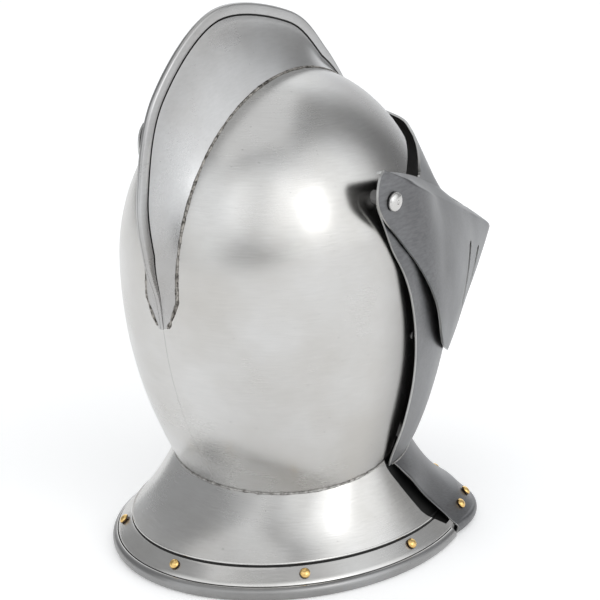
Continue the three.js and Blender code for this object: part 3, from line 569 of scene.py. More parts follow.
for name, side in SIDES:
    sections = np.array([comb_section(u, side) for u in np.linspace(0, 1, 141)])
    points, faces = swept(sections)
    marks = [1 if k % sections.shape[1] in CREASE and k < len(faces) - 2 else 0 for k in range(len(faces))]
    piece = solid_piece(f"comb_sheet_{name}", (points, faces), "skull", "steel_polished", COMB,
                        (f"comb_{name}_plate",), marks)
    piece.data.materials.append(SHADE_BLACK)
    sharpen(piece, 38)


# ---- welds: uneven beads along the seams ----
HELMET_MIDDLE = 170.0
KNOT_STEP, BEAD_FLATNESS, BEAD_TAPER = 5, 0.62, 0.4


def bead(name, path, radius, body, seed, material):
    """A weld along a path: its width wanders slowly and jitters at each point."""
    rng = np.random.default_rng(seed)
    path = np.asarray(path, float)
    count = len(path)
    run = np.gradient(path, axis=0)
    run /= norm(run, axis=1)[:, None] + 1e-9
    outward = path - np.array([0, 0, HELMET_MIDDLE])
    outward -= (outward * run).sum(1)[:, None] * run
    outward /= norm(outward, axis=1)[:, None]
    across = np.cross(run, outward)
    knots = np.arange(0, count + KNOT_STEP + 1, KNOT_STEP)
    slow = np.interp(np.arange(count), knots, rng.normal(0, 1, len(knots)))
    size = radius * (1 + 0.16 * slow + 0.10 * rng.normal(0, 1, count))
    size = np.clip(size, radius * 0.5, radius * 1.5)
    size[:2] *= BEAD_TAPER
    size[-2:] *= BEAD_TAPER
    rings = [path + outward * (np.cos(t) * size * BEAD_FLATNESS)[:, None]
             + across * (np.sin(t) * size)[:, None] for t in turn(8)]
    solid_piece(name, swept(np.stack(rings, axis=1)), body, "steel_polished", material)


def neck_point(angle):
    up = np.full(np.shape(angle), SEAM_LEVEL)
    for _ in range(8):
        up = SEAM_LEVEL + SEAM_SLOPE * dome(angle, up)[..., 0]
    return dome(angle, up)


bead("neck_weld", neck_point(np.linspace(-1.76, 1.76, 300)), 1.25, "skull", 3, SOFT_WELD)
for name, side in SIDES:
    foot_line = []
    for u in np.linspace(0.004, 0.995, 220):
        right = HEM_OFFSET + SHEET + comb_flare(u)
        f, up = comb_foot(spline(COMB_EDGE, u), right)
        foot_line.append((f, side * right, up))
    bead(f"comb_weld_{name}", foot_line, 1.1, "skull", 5 + side, WELD)


# ---- the gorgets ----
def rim_point(angle, scale, up):
    return np.stack([RIM_CENTRE - np.cos(angle) * RIM_BACK * scale, np.sin(angle) * RIM_HALF * scale,
                     up + FLOOR + 0 * angle], -1)


def front_rim_point(angle, scale, up):
    c, s = -np.cos(angle), np.sin(angle)
    reach = (np.abs(c) ** SQUARENESS + np.abs(s) ** SQUARENESS) ** (-1 / SQUARENESS)
    forward = c * np.where(c > 0, reach, 1) * FRONT_LENGTH * scale
    right = s * np.where(c > 0, reach, 1) * FRONT_HALF * scale
    centre = FRONT_CENTRE * (0.25 + 0.75 * scale)
    return np.stack([centre + forward, right, up + FRONT_LIFT + FLOOR + 0 * angle], -1)


ROLL = [(0.978 + 0.027 * math.cos(t), 4.5 + 4.4 * math.sin(t)) for t in np.radians(np.linspace(78, -215, 26))]
LIP = [(0.8955, 20.9), (0.8985, 20.6), (0.9, 19.9), (0.8985, 18.6), (0.901, 18.2), (0.905, 18.25)]
BAND = [(0.905 + (0.972 - 0.905) * t, 18.25 + (10.2 - 18.25) * t) for t in np.linspace(0, 1, 7)[1:]]
GROOVE = [(0.9735, 9.3), (0.977, 8.7), (0.9795, 9.0)]
REAR_STATIONS = np.array(LIP + BAND + GROOVE + ROLL)
PLAIN = [(0.8985, 19.7)] + [(0.903 + 0.076 * t, 19.1 - 9.9 * t) for t in np.linspace(0, 1, 7)]
FRONT_STATIONS = np.array(PLAIN + ROLL)
FLARE_STEPS = 12
LAP_REACH = 24
# Faces of the step under the bead and of the groove above the roll, counted from the neck; their black steel
# is painted shade.
SHADE_LINES = [FLARE_STEPS + k for k in (3, 4, 13, 14)]


def gorget_surface(ring, neck, dish, stations, lift):
    def surface(u, v):
        """u is the angle; v counts stations from the neck down and round the rolled rim."""
        share = unit(v / FLARE_STEPS)[..., None]
        top, foot = neck(u), ring(u, BEAD_SCALE, BEAD_UP)
        flare = top + (foot - top) * share
        flare[..., 2] -= dish * np.sin(np.pi * share[..., 0])
        place = np.clip(v - FLARE_STEPS - 1, 0, len(stations) - 1)
        i = np.minimum(place.astype(int), len(stations) - 2)
        t = (place - i)[..., None]
        spot = stations[i] * (1 - t) + stations[i + 1] * t
        rim = ring(u, spot[..., 0], spot[..., 1])
        p = np.where((v <= FLARE_STEPS)[..., None], flare, rim)
        if lift:
            # The front plate's ends lap outside the rear one, most of all half way down.
            near = unit(1 + outside(FRONT_END, p[..., 0], p[..., 2]) / -LAP_REACH) ** 2
            middle = unit((58 - p[..., 2]) / 14) * unit((p[..., 2] - 2) / 16)
            p[..., 1] += np.sign(p[..., 1]) * lift * near * middle
            p[..., 2] += 0.5 * lift * near * middle
        return p
    return surface


BEVOR_REAR = [(15.5, 40), (16.5, 70), (21, 116), (15.5, 155), (2.5, 193), (-9, 214), (-18, 233)]
BEVOR_REAR_LINE = smooth_line(BEVOR_REAR, 60)
BEVOR_LIFT, BEVOR_LIFT_REACH = 2.4, 26


def bevor_length(up):
    line = spline([(48, 80), (58, 95), (70, 109), (92, 121.5), (125, 132), (170, 136), (250, 120)],
                  np.linspace(0, 1, 400))
    return np.interp(up, line[:, 0], line[:, 1])


def bevor_point(angle, up):
    p = dome(angle, np.minimum(up, EAR_LEVEL), BEVOR_STANDOFF)
    front = -np.cos(angle) * bevor_length(up)
    p = np.stack([np.where(p[..., 0] > 0, front, p[..., 0]), p[..., 1], up + 0 * angle], -1)
    # The rear edge stands off the skull, except at the neck and under the visor's arms.
    edge = np.interp(up, BEVOR_REAR_LINE[:, 1], BEVOR_REAR_LINE[:, 0])
    near = unit(1 - (p[..., 0] - edge) / BEVOR_LIFT_REACH)
    level = unit((up - 60) / 30) * unit((214 - up) / 34)
    lift = BEVOR_LIFT * near**2 * level * level * (3 - 2 * level)
    p[..., 1] += np.sign(p[..., 1]) * lift
    return p


REAR_END = [(12, 75), (13, 57), (34, 22), (54, 9), (60, 0), (60, -20), (140, -20), (140, 75)]
FRONT_END = [(-10, 75), (13, 75), (16, 62), (19, 59.5), (24, 57), (40.5, 33), (57, 13), (64, 5), (66, -20),
             (-10, -20)]
GORGET_THICKNESS, GORGET_BEVEL = 1.3, 0.3


def gorget(name, surface, stations, end, low, high, *details, shade_lines=()):
    roll = FLARE_STEPS + 1 + len(stations) - len(ROLL)
    plate(name, surface, lambda p, u, v: outside(end, p[..., 0], p[..., 2]), np.linspace(low, high, 171),
          np.arange(FLARE_STEPS + 1 + len(stations) + 0.5), INSIDE_GORGET, *details,
          thickness=GORGET_THICKNESS, bevel=GORGET_BEVEL,
          mark=lambda row: 1 if row in shade_lines else 2 if row >= roll and shade_lines else 0)


REAR_DISH, FRONT_DISH, FRONT_PROUD = 2.5, 5.0, 4.0
rear_surface = gorget_surface(rim_point, neck_point, REAR_DISH, REAR_STATIONS, 0)
front_surface = gorget_surface(front_rim_point, lambda a: bevor_point(a, BEVOR_SEAM), FRONT_DISH,
                               FRONT_STATIONS, FRONT_PROUD)
gorget("rear_gorget_plate", rear_surface, REAR_STATIONS, REAR_END, -2.05, 2.05, "skull", "steel_polished",
       BRIGHT, ("rear_gorget",), shade_lines=SHADE_LINES)
gorget("front_gorget_plate", front_surface, FRONT_STATIONS, FRONT_END, np.pi * 0.5, np.pi * 1.5, "bevor",
       "steel_satin", SATIN, ("front_gorget",))

# Laps that carry the rear gorget's ends in under the front plate, in black steel as painted shade.
LAP_INSET, LAP_DROP, LAP_WIDTH, LAP_TUCK, LAP_LOW, LAP_FRONT = 2.2, 0.8, 17, 1.5, 0.5, 68


def lap_surface(u, v):
    p = rear_surface(u, v)
    flat = p[..., :2] - (RIM_CENTRE, 0)
    p[..., :2] -= LAP_INSET * flat / norm(flat, axis=-1, keepdims=True)
    p[..., 2] -= LAP_DROP
    return p


def lap_keep(p, u, v):
    past = outside(REAR_END, p[..., 0], p[..., 2])
    return np.minimum(np.minimum(past + LAP_WIDTH, LAP_TUCK - past),
                      np.minimum(p[..., 2] - LAP_LOW, LAP_FRONT - p[..., 0]))


for name, side in SIDES:
    plate(f"gorget_lap_{name}", lap_surface, lap_keep, side * np.linspace(1.5, 2.4, 70),
          np.arange(FLARE_STEPS + 11.5), INSIDE_GORGET, "skull", "steel_satin", SHADE_BLACK,
          thickness=0.9, bevel=0.2, lined=False)


# ---- the bevor ----
BEVOR_TOP = [(-3, 238), (5, 222), (20, 204), (38, 183), (60, 156), (95, 138), (142, 131)]
ear = [(PIVOT_FORWARD + EAR_RADIUS * math.cos(t), PIVOT_UP + EAR_RADIUS * math.sin(t))
       for t in np.pi * (1.19 - 1.2 * np.arange(1, 16) / 16)]
BEVOR_CUT = [*smooth_line(BEVOR_REAR, 40), *ear, *smooth_line(BEVOR_TOP, 30),
             (170, 131), (170, 290), (-60, 290), (-60, 40)]
plate("bevor_plate", bevor_point, lambda p, u, v: outside(BEVOR_CUT, p[..., 0], p[..., 2]),
      np.linspace(0.36, 1.64, 141) * np.pi, np.linspace(BEVOR_SEAM, 268, 95), INSIDE_BEVOR, "bevor",
      "steel_satin", SATIN, ("bevor",))
front_angles = np.linspace(np.pi * 0.565, np.pi * 1.435, 200)
bead("bevor_weld", bevor_point(front_angles, np.full(200, BEVOR_SEAM)), 0.9, "bevor", 11, SOFT_WELD)

# ---- the visor ----
PROW_ARC = math.pi / 2 - math.atan(PROW_SLOPE)
ARC_SHARE, ARM_SHARE = 0.3, 0.72
ARM_PLAN = [(60, 0), (44, 0.31), (28, 0.62), (14, 0.86), (3, 0.97), (-10, 1), (-36, 1)]


def fold_plan(share):
    bend = PROW_ARC * np.minimum(share / ARC_SHARE, 1)
    af, ar = PROW_CENTRE + PROW_RADIUS * np.cos(bend), PROW_RADIUS * np.sin(bend)
    start = ARM_PLAN[0][0]
    end_f, end_r = PROW_CENTRE + PROW_RADIUS * math.cos(PROW_ARC), PROW_RADIUS * math.sin(PROW_ARC)
    start_half = end_r + (end_f - start) * PROW_SLOPE
    t = unit((share - ARC_SHARE) / (ARM_SHARE - ARC_SHARE))
    arm = spline(ARM_PLAN, unit((share - ARM_SHARE) / (1 - ARM_SHARE)))
    f = np.where(share < ARC_SHARE, af, np.where(share < ARM_SHARE, end_f + (start - end_f) * t, arm[..., 0]))
    r = np.where(share < ARC_SHARE, ar, np.where(share < ARM_SHARE, end_r + (start_half - end_r) * t,
                 start_half + (VISOR_SIDE - start_half) * arm[..., 1]))
    return f, r


def fold_line(share):
    f, r = fold_plan(share)
    return np.stack([f, r, FOLD_UP + FOLD_SLOPE * f], -1)


def chin_line(share):
    f, r = fold_plan(share)
    up = FOLD_UP + FOLD_SLOPE * f - (NOSE_DEPTH + (VISOR_DEPTH - NOSE_DEPTH) * r / VISOR_SIDE)
    reach = unit(f / (PROW_CENTRE + PROW_RADIUS))
    half = CHIN_HALF * (1 - reach ** CHIN_POINT) ** (1 / CHIN_POINT)
    return np.stack([np.where(f <= 0, f, CHIN_LENGTH * reach), half, up], -1)


LEDGE_INNER = [(134, 0, 211.1), (128, 28, 213.5), (116, 43, 218.4), (104, 52, 223.4), (88, 62.5, 229.9),
               (56, 72.5, 243), (18, 86, 257), (-36, 98, 271)]
BROW_EDGE = [(100, 0, 274), (92, 28, 271.5), (80, 45, 268), (70, 57, 263), (60, 66.5, 256.5), (50, 74, 247.5)]
BROW_SHARE = 5 / 7
LEDGE_CROWN = 2


RIGHT_HALF = (-np.inf, 0, -np.inf)  # the least that a point of the right side may be


def ledge_line(share):
    return np.maximum(spline(LEDGE_INNER, share), RIGHT_HALF)


def brow_line(share):
    p = np.maximum(spline(BROW_EDGE, np.minimum(share / BROW_SHARE, 1)), RIGHT_HALF)
    return np.where((share >= BROW_SHARE)[..., None], ledge_line(share), p)


def visor_flat(u, v):
    share = np.abs(2 * u - 1)
    side = np.where(u < 0.5, -1, 1)
    band = np.clip(np.floor(v), 0, 2)
    t = (v - band)[..., None]
    lines = [chin_line(share), fold_line(share), ledge_line(share), brow_line(share)]
    first, second = (band == 0)[..., None], (band == 1)[..., None]
    low, high = (np.where(first, lines[k], np.where(second, lines[k + 1], lines[k + 2])) for k in (0, 1))
    p = low + (high - low) * t
    swell = (4 * t * (1 - t))[..., 0]
    f, r, up = p[..., 0], p[..., 1], p[..., 2]
    flank = np.minimum(r / 60, 1)
    arm = unit((share - ARM_SHARE) / 0.15)
    arm = arm * arm * (3 - 2 * arm)
    side_r = (r + swell * SIDE_SWELL * flank) * (1 - arm) + VISOR_SIDE * arm
    f = np.where(band == 0, f + swell * PROW_SWELL * (1 - flank), f)
    r = np.where(band == 0, side_r, r)
    up = np.where(band == 1, up + swell * LEDGE_CROWN * np.maximum(1 - share / 0.7, 0), up)
    return np.stack([f, side * r, up], -1)


def visor_eased(u, v):
    """The same surface with the turn from side to arm spread out along the side."""
    share = np.abs(2 * u - 1)
    reach = unit((share - 0.45) / 0.2) * unit((0.93 - share) / 0.08)
    reach = 0.04 * reach * reach * (3 - 2 * reach)
    steps = np.linspace(-1, 1, 9)
    weights = np.exp(-2 * steps**2)
    total = sum(w * visor_flat(unit(u + step * reach), v) for step, w in zip(steps, weights))
    return total / weights.sum()


def visor_point(u, v):
    """The visor with its two folds rounded."""
    p = visor_eased(u, v)
    for crease, before, after in ((1.0, 0.022, 0.07), (2.0, 0.06, 0.06)):
        t = (v - (crease - before)) / (before + after)
        near = (t > 0) & (t < 1)
        t = unit(t)[..., None]
        a = visor_eased(u, np.full(np.shape(v), crease - before))
        b = visor_eased(u, np.full(np.shape(v), crease + after))
        c = visor_eased(u, np.full(np.shape(v), crease))
        curve = (1 - t) ** 2 * a + 2 * t * (1 - t) * c + t ** 2 * b
        p = np.where(near[..., None], curve, p)
    return p


VISOR_EDGE = [(-20, 290), (-22, 273), (-28, 264), (-29.5, 252), (-26, 242.5), (-18, 233), (-7, 222.5),
              (14, 200), (35, 171), (54, 138), (86, 119), (122, 106), (170, 98)]
VISOR_CUT = [*smooth_line(VISOR_EDGE, 60), (230, 92), (230, 30), (-60, 30), (-60, 290)]
BREATHS = (0.17, 0.26, 0.35, 0.44)


BREATH_HALF, BREATH_LOW, BREATH_HIGH = 3.0, 0.41, 0.83
VISOR_GIRTH, VISOR_DROP = 300, 95  # millimetres for a whole share of u and of v
SIGHT_START, SIGHT_END, SIGHT_LEVEL, SIGHT_FLAT, SIGHT_HALF = 0.04, 0.5, 1.49, 0.012, 1.9
SIGHT_GIRTH, SIGHT_DROP = 250, 45


def breath_distance(share, v, middle):
    """Signed distance to a round-ended slot, in millimetres: positive outside it."""
    drop = v * VISOR_DROP
    along = np.maximum(np.maximum(BREATH_LOW * VISOR_DROP + BREATH_HALF - drop,
                                  drop - BREATH_HIGH * VISOR_DROP + BREATH_HALF), 0)
    return np.hypot((share - middle) * VISOR_GIRTH, along) - BREATH_HALF


def visor_keep(points, u, v):
    keep = outside(VISOR_CUT, points[..., 0], points[..., 2])
    share = np.abs(2 * u - 1)
    for middle in BREATHS:
        keep = np.minimum(keep, breath_distance(share, v, middle))
    ends = np.maximum(np.maximum(SIGHT_START - share, share - SIGHT_END), 0) * SIGHT_GIRTH
    sight = np.hypot(ends, np.maximum(np.abs(v - SIGHT_LEVEL) - SIGHT_FLAT, 0) * SIGHT_DROP) - SIGHT_HALF
    return np.minimum(keep, sight)


slot_us = np.sort(np.unique(np.round(np.concatenate([
    np.linspace(0, 1, 161), *[0.5 + s * 0.5 * np.linspace(m - 0.012, m + 0.012, 13) for m in BREATHS
                              for s in (-1, 1)]]), 5)))
visor_vs = np.sort(np.unique(np.round(np.concatenate([
    np.linspace(0, 0.97, 60), np.linspace(0.975, 1.08, 11), np.linspace(1.1, 1.38, 8),
    np.linspace(1.4, 1.58, 19), np.linspace(1.62, 1.92, 8), np.linspace(1.94, 2.07, 10),
    np.linspace(2.1, 3, 14)]), 5)))
plate("visor_plate", visor_point, visor_keep, slot_us, visor_vs, INSIDE_VISOR, "visor", "steel_satin", SATIN,
      ("visor",))


# ---- turned pieces: rivets and bolts ----
def turned_piece(name, profile, base, direction, body, slot, material, stands_for, segments, skirt):
    """A profile turned about a direction. skirt gives the finish of its lowest faces, and their height; the
    bolts' black skirt is painted shade.
    """
    direction = np.asarray(direction, float) / norm(direction)
    helper = np.array([0, 0, 1.0]) if abs(direction[2]) < 0.9 else np.array([1.0, 0, 0])
    x = np.cross(helper, direction)
    x /= norm(x)
    y = np.cross(direction, x)
    rings = [[np.asarray(base) + direction * h + r * (x * math.cos(t) + y * math.sin(t)) for r, h in profile]
             for t in turn(segments)]
    piece = solid_piece(name, swept(np.array(rings), True, True), body, slot, material, stands_for)
    sharpen(piece, 35)
    piece.data.materials.append(skirt[0])
    origin = Vector(world(base))
    along = Vector((-direction[1], -direction[0], direction[2]))
    for face in piece.data.polygons:
        if (face.center - origin).dot(along) * 1000 < skirt[1]:
            face.material_index = 1


def band_place(ring, angle):
    """Middle of the band under the bead, and the direction out of it."""
    def spot(a, s):
        return ring(np.array(a), s, 20 - 11 * (s - 0.902) / 0.083)
    point = spot(angle, 0.94)
    along = spot(angle + 0.01, 0.94) - point
    down = spot(angle, 0.985) - spot(angle, 0.902)
    normal = np.cross(down, along)
    normal /= norm(normal)
    return point, normal * (1 if normal[2] > 0 else -1)


def dome_profile(radius, height, base, stem, length, flange):
    cap = [(radius * math.cos(t), base + height * math.sin(t)) for t in np.linspace(0, math.pi / 2, 9)]
    tail = [(0.02, -length), (flange * 0.9, -length), (flange, 0.9 - length), (flange * 0.9, 1.3 - length),
            (stem, 1.3 - length), (stem, base - 0.35), (radius * 0.97, base - 0.35)]
    return tail + cap[:-1] + [(0.02, base + height)]


def rivet_piece(name, ring, angle, body, wobble):
    point, normal = band_place(ring, math.radians(angle))
    profile = dome_profile(3.4 + 0.12 * math.sin(wobble), 2.3, 0.3, 1.5, 7.2, 2.9)
    turned_piece(f"{name}_head", profile, point, normal, body, "brass", BRASS, (name,), 26, (TARNISH, 0.75))


for k, angle in enumerate((-84, -40, 3.5, 49, 88)):
    rivet_piece(f"rear_rivet_{k + 1}", rim_point, angle, "skull", k * 2.1)
for k, angle in enumerate((-116, -130, -156, 156, 130, 116)):
    rivet_piece(f"front_rivet_{k + 1}", front_rim_point, angle, "bevor", k * 1.7)

bolt_head = [(6.2 * math.cos(t) ** 0.8, 0.8 + 2.6 * math.sin(t)) for t in np.linspace(0, 1.3, 12)]
BOLT = [(0.02, -24.6), (2.4, -24.6), (3, -24), (3, 0.02), (5.9, 0.02), (6.2, 0.3)] + bolt_head + [
    (1.5, 3.3), (1.1, 2.7), (0.02, 2.5)]
for name, side in SIDES:
    turned_piece(f"pivot_bolt_turned_{name}", BOLT, (PIVOT_FORWARD, side * BOLT_SEAT, PIVOT_UP), (0, side, 0),
                 "skull", "steel_polished", BRIGHT, (f"pivot_bolt_{name}",), 40, (SHADE_BLACK, 0.5))

# ---- the lining ----
LINER_SHARE = 0.925
LINER_RISE = DOME_RISE * LINER_SHARE
BAND_LOW, BAND_HIGH = 255.0, 275.0


def liner_point(angle, up, depth=0.0):
    p = dome(angle, DOME_LEVEL + (up - DOME_LEVEL) / LINER_SHARE) * LINER_SHARE
    flat = p[..., :2]
    inset = np.asarray(depth)[..., None] / norm(flat, axis=-1, keepdims=True)
    return np.concatenate([flat * (1 - inset), (up + 0 * angle)[..., None]], -1)


band_profile = [(math.cos(t), math.sin(t)) for t in turn(20)]


def rounded(value, power=0.35):
    return math.copysign(abs(value) ** power, value)


rings = []
for angle in turn(160):
    ring = []
    for c, s in band_profile:
        up = (BAND_LOW + BAND_HIGH) / 2 + (BAND_HIGH - BAND_LOW) / 2 * rounded(s)
        depth = 1.35 + 1.1 * rounded(c, 0.6) + 0.12 * math.sin(37 * angle)
        ring.append(liner_point(np.array(angle), np.array(up), depth))
    rings.append(ring)
solid_piece("headband_leather", swept(np.array(rings), True, True), "skull", "leather", LEATHER,
            ("liner_headband",))


def stitches(name, path, inward, body, length=2.6, pitch=4.6, radius=0.35):
    """A row of short raised threads along a line of points, just proud of the surface."""
    path = np.asarray(path, float)
    inward = np.asarray(inward, float)
    steps = np.concatenate([[0], np.cumsum(norm(np.diff(path, axis=0), axis=1))])
    points, faces = [], []
    for start in np.arange(pitch / 2, steps[-1] - length, pitch):
        ring_places = np.linspace(start, start + length, 5)
        centre, out = (np.stack([np.interp(ring_places, steps, p[:, k]) for k in range(3)], -1)
                       for p in (path, inward))
        out /= norm(out, axis=1)[:, None]
        run = centre[-1] - centre[0]
        run /= norm(run)
        across = np.cross(run, out)
        rise = radius * 0.7 * np.sin(np.linspace(0, np.pi, 5))
        base = len(points)
        for k in range(5):
            for t in turn(6):
                size = radius * (0.45 if k in (0, 4) else 1)
                lift = out[k] * (rise[k] + size * math.cos(t))
                points.append(centre[k] + lift + across[k] * size * math.sin(t))
        for k in range(4):
            for j in range(6):
                a, b = base + k * 6 + j, base + k * 6 + (j + 1) % 6
                faces.append([a, b, b + 6, a + 6])
        faces.append([base + j for j in range(6)][::-1])
        faces.append([base + 24 + j for j in range(6)])
    solid_piece(name, (np.array(points), faces), body, "leather", THREAD)


ring_angles = np.linspace(0.01, 2 * np.pi - 0.01, 400)
for row, up in (("low", BAND_LOW + 2.6), ("high", BAND_HIGH - 2.6)):
    line = liner_point(ring_angles, np.full(400, up), 2.45)
    inward = -(line * (1, 1, 0))
    stitches(f"headband_stitches_{row}", line, inward, "skull")

TONGUES = 6
TONGUE_WIDE, TONGUE_NARROW, HIGH_CLIMB, TONGUE_SAG = 56, 12, 1.37, 0.7
LOW_CLIMB = math.asin((BAND_HIGH + 0.8 - DOME_LEVEL) / LINER_RISE)
for k in range(TONGUES):
    middle = (k + 0.5) * 2 * np.pi / TONGUES

    def tongue(u, v, middle=middle):
        """A tongue of canvas: u across, v up towards the crown, sagging a little in its middle."""
        climb = LOW_CLIMB + (HIGH_CLIMB - LOW_CLIMB) * v
        width = TONGUE_WIDE + (TONGUE_NARROW - TONGUE_WIDE) * v ** 1.4
        reach = 100 * np.cos(climb)
        angle = middle + (u - 0.5) * np.minimum(width / reach, 0.98)
        sag = TONGUE_SAG * np.sin(np.pi * u) * np.sin(np.pi * v)
        return liner_point(angle, DOME_LEVEL + LINER_RISE * np.sin(climb), sag)

    u, v = np.meshgrid(np.linspace(0, 1, 25), np.linspace(0, 1, 37), indexing="ij")
    grid = tongue(u, v)
    cloth = new_piece(f"crown_canvas_{k + 1}", *swept(grid, False), "skull", "canvas", CANVAS,
                      (f"crown_tongue_{k + 1}",))
    face_out(cloth, INSIDE_SKULL)
    thicken(cloth, 1.6, 0.4, False)
    length = float(norm(np.diff(grid[12], axis=0), axis=1).sum()) / 1000
    widths = norm(np.diff(grid, axis=0), axis=2).sum(axis=0) / 1000
    cells = norm(np.cross(grid[1:, :-1] - grid[:-1, :-1], grid[:-1, 1:] - grid[:-1, :-1]), axis=2)
    for edge, share in (("a", 0.06), ("b", 0.94)):
        vv = np.linspace(0.04, 0.96, 80)
        line = tongue(np.full(80, share), vv)
        inward = np.array([0, 0, 215.0]) - line
        line = line + inward / norm(inward, axis=1)[:, None] * 1.75
        stitches(f"crown_seam_{k + 1}{edge}", line, inward, "skull", 2.2, 3.8, 0.28)

# A twisted lace through the tips of the tongues.
LACE_REACH, LACE_RADIUS, LACE_TWISTS = 14, 1.35, 22
lace_points = []
for t in turn(240):
    ring = []
    for j in range(10):
        a = 2 * np.pi * j / 10
        radius = LACE_RADIUS + 0.22 * math.cos(2 * (a + LACE_TWISTS * t))
        reach = LACE_REACH + radius * math.cos(a)
        ring.append((reach * math.cos(t), reach * math.sin(t),
                     DOME_LEVEL + LINER_RISE * 0.975 + radius * math.sin(a) + 0.3 * math.sin(6 * t)))
    lace_points.append(ring)
solid_piece("crown_lace_twisted", swept(np.array(lace_points), True, True), "skull", "leather", LEATHER,
            ("crown_lace",))


# ---- lining bands inside the gorgets ----
def lining_strip(name, ring, low, high, body, stands_for):
    corner = np.array([(0.947, 9.4), (0.902, 15.2), (0.896, 13.2), (0.941, 7.4)])
    loop = []
    for k in range(4):
        a, b = corner[k], corner[(k + 1) % 4]
        loop += [a + (b - a) * t for t in (0.12, 0.3, 0.5, 0.7, 0.88)]
    sections = [[ring(np.array(angle), s, up + 0.12 * math.sin(60 * angle)) for s, up in loop]
                for angle in np.linspace(low, high, 140)]
    solid_piece(name, swept(np.array(sections)), body, "leather", LEATHER, stands_for)


lining_strip("rear_lining_leather", rim_point, -1.82, 1.82, "skull", ("rear_lining_band",))
lining_strip("front_lining_leather", front_rim_point, math.pi * 0.6, math.pi * 1.4, "bevor",
             ("front_lining_band",))

# ---- chin strap ----
STRAP_FORWARD, STRAP_WIDTH, STRAP_THICK, BUCKLE_UP = 20.5, 20.0, 2.4, 72.0
SEAM_REACH = 8.2
STRAP_TOP = [(86.6, 160), (85.8, 151), (84.5, 140), (81, 120), (72, 99), (56, 84), (38, 76)]
RIGHT_PATH = STRAP_TOP + [(17, BUCKLE_UP)]
LEFT_PATH = [(-r, up) for r, up in STRAP_TOP + [(20, 74.9), (-4, 74.9)]]


def strap_rings(path, steps=90):
    share = np.linspace(0, 1, steps + 1)
    line = spline(path, share)
    run = np.gradient(line, axis=0)
    run /= norm(run, axis=1)[:, None]
    side = np.stack([run[:, 1], -run[:, 0]], -1)
    rings = []
    for k in range(len(share)):
        ring = []
        for t in turn(28):
            out = STRAP_THICK / 2 * rounded(math.sin(t), 0.6) * (1 + 0.04 * math.sin(share[k] * 70))
            across = STRAP_WIDTH / 2 * rounded(math.cos(t), 0.22)
            ring.append((STRAP_FORWARD + across, *(line[k] + out * side[k])))
        rings.append(ring)
    return np.array(rings), line, side


for name, path, mirror in (("right", RIGHT_PATH, 1), ("left", LEFT_PATH, -1)):
    rings, line, side = strap_rings(path)
    solid_piece(f"chin_strap_leather_{name}", swept(rings), "skull", "leather", LEATHER,
                (f"chin_strap_{name}",))
    for row, across in (("a", -SEAM_REACH), ("b", SEAM_REACH)):
        out = np.stack([0 * side[:, 0], side[:, 0], side[:, 1]], -1) * mirror
        seam = np.stack([np.full(len(line), STRAP_FORWARD + across), line[:, 0], line[:, 1]], -1)
        seam = seam + out * (STRAP_THICK / 2 + 0.02)
        stitches(f"strap_stitches_{name}_{row}", seam[4:-6], out[4:-6], "skull", 2.4, 4.2, 0.3)

# The loop of leather that holds the buckle's bar, with a gap between its halves for the prong.
LOOP_RIGHT = 12.5
loop_rings = []
for f in np.linspace(-9.6, 9.6, 13):
    ring = []
    for t in turn(24):
        ring.append((STRAP_FORWARD + f, LOOP_RIGHT + 6.3 * rounded(math.cos(t), 0.5),
                     BUCKLE_UP + 3.4 * rounded(math.sin(t), 0.5)))
    loop_rings.append(ring)
for half, keep in (("front", slice(8, 13)), ("rear", slice(0, 5))):
    solid_piece(f"buckle_loop_{half}", swept(np.array(loop_rings[keep])), "skull", "leather", LEATHER)

# ---- CAD nodes that stay, with their finish; the dark steel of fasteners and washers is painted shade ----
fasteners = [f"{part}_{name}" for part in ("pivot_nut", "pivot_collar", "strap_rivet") for name, _ in SIDES]
for names, material in ((fasteners + [f"liner_clip_{k}" for k in range(1, 5)], SHADED_INSIDE),
                        ([f"friction_washer_{name}" for name, _ in SIDES], SHADE_BLACK),
                        (["buckle_frame", "buckle_prong"], BRASS)):
    for name in names:
        node = bpy.data.objects[name]
        node.data.materials.clear()
        node.data.materials.append(material)

# ---- stage, light and camera ----
floor_mesh = bpy.data.meshes.new("floor")
floor_mesh.from_pydata([(-14, -14, 0), (14, -14, 0), (14, 14, 0), (-14, 14, 0)], [], [(0, 1, 2, 3)])
floor = add_object("floor", floor_mesh)
paper, tree, shader = nodes_of("paper")
tint = ramp(tree, noise(tree, 2, 2), [(0.3, (0.93, 0.93, 0.93)), (0.7, (0.95, 0.95, 0.95))])
tree.links.new(tint, shader.inputs["Base Color"])
put(shader, **{"Roughness": 0.9, "Emission Color": (1, 1, 1, 1), "Emission Strength": 0.27})
floor_mesh.materials.append(paper)


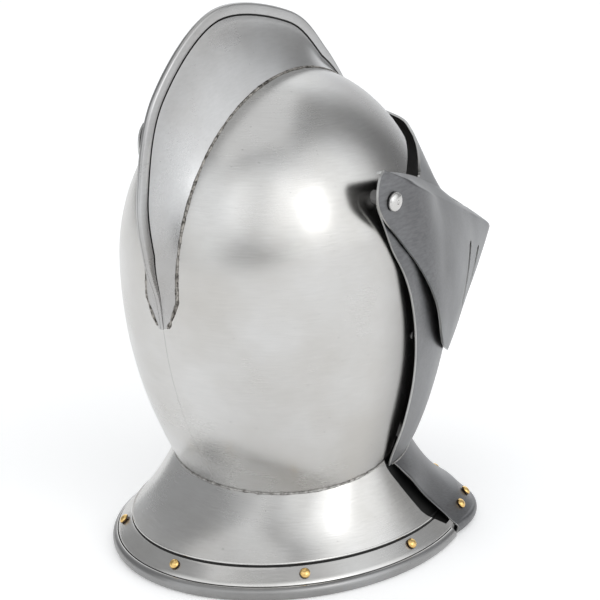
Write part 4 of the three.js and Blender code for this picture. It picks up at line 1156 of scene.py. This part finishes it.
def softbox(name, place, size, power):
    light = bpy.data.lights.new(name, "AREA")
    light.shape = "RECTANGLE"
    light.size, light.size_y = size
    light.energy = power
    lamp = add_object(name, light)
    lamp.location = place
    lamp.rotation_euler = (Vector((0, 0, 0.2)) - Vector(place)).to_track_quat("-Z", "Y").to_euler()


softbox("spark", (-2.6, 0.3, 1.3), (0.7, 0.9), 5)
softbox("top", (0.2, 0.2, 2.6), (2.2, 2.2), 8)

# The studio: a grey tent, brighter at four large soft panels round the helmet. Each panel has its azimuth and
# elevation, the angles from its middle where it is full and where it has faded out, and its strength.
TENT = 0.40
PANELS = ((-174, 17, 16, 50, 1.05), (86, 24, 12, 42, 0.75), (-55, 26, 14, 46, 0.9), (136, 34, 8, 34, 0.75))
room = bpy.data.worlds.new("room")
bpy.context.scene.world = room
room.use_nodes = True
tree = room.node_tree
way = tree.nodes.new("ShaderNodeTexCoord").outputs["Generated"]


def added(a, b):
    node = tree.nodes.new("ShaderNodeMath")
    node.operation = "ADD"
    for socket, value in zip(node.inputs, (a, b)):
        join(tree, socket, value)
    return node.outputs[0]


def panel(azimuth, elevation, inner, outer, strength):
    a, e = math.radians(azimuth), math.radians(elevation)
    dot = tree.nodes.new("ShaderNodeVectorMath")
    dot.operation = "DOT_PRODUCT"
    tree.links.new(way, dot.inputs[0])
    dot.inputs[1].default_value = (math.cos(e) * math.cos(a), math.cos(e) * math.sin(a), math.sin(e))
    outer, inner = math.cos(math.radians(outer)), math.cos(math.radians(inner))
    return eased(tree, dot.outputs["Value"], outer, inner, 0, strength)


light = panel(*PANELS[0])
for spec in PANELS[1:]:
    light = added(light, panel(*spec))
light = added(light, TENT)
tree.links.new(light, tree.nodes["Background"].inputs["Strength"])
tree.nodes["Background"].inputs["Color"].default_value = (0.97, 0.985, 1, 1)
bpy.context.scene.view_settings.view_transform = "Standard"

view = bpy.data.cameras.new("camera")
view.lens = 118.3
view.sensor_width = 36
view.shift_x = 0.03
view.shift_y = -0.0233
camera = add_object("camera", view)
camera.location = (-0.7969, MIDDLE / 1000 + 0.9498, 0.5632)
target = Vector((0, MIDDLE / 1000, 0.1723))
camera.rotation_euler = (target - camera.location).to_track_quat("-Z", "Y").to_euler()
bpy.context.scene.camera = camera
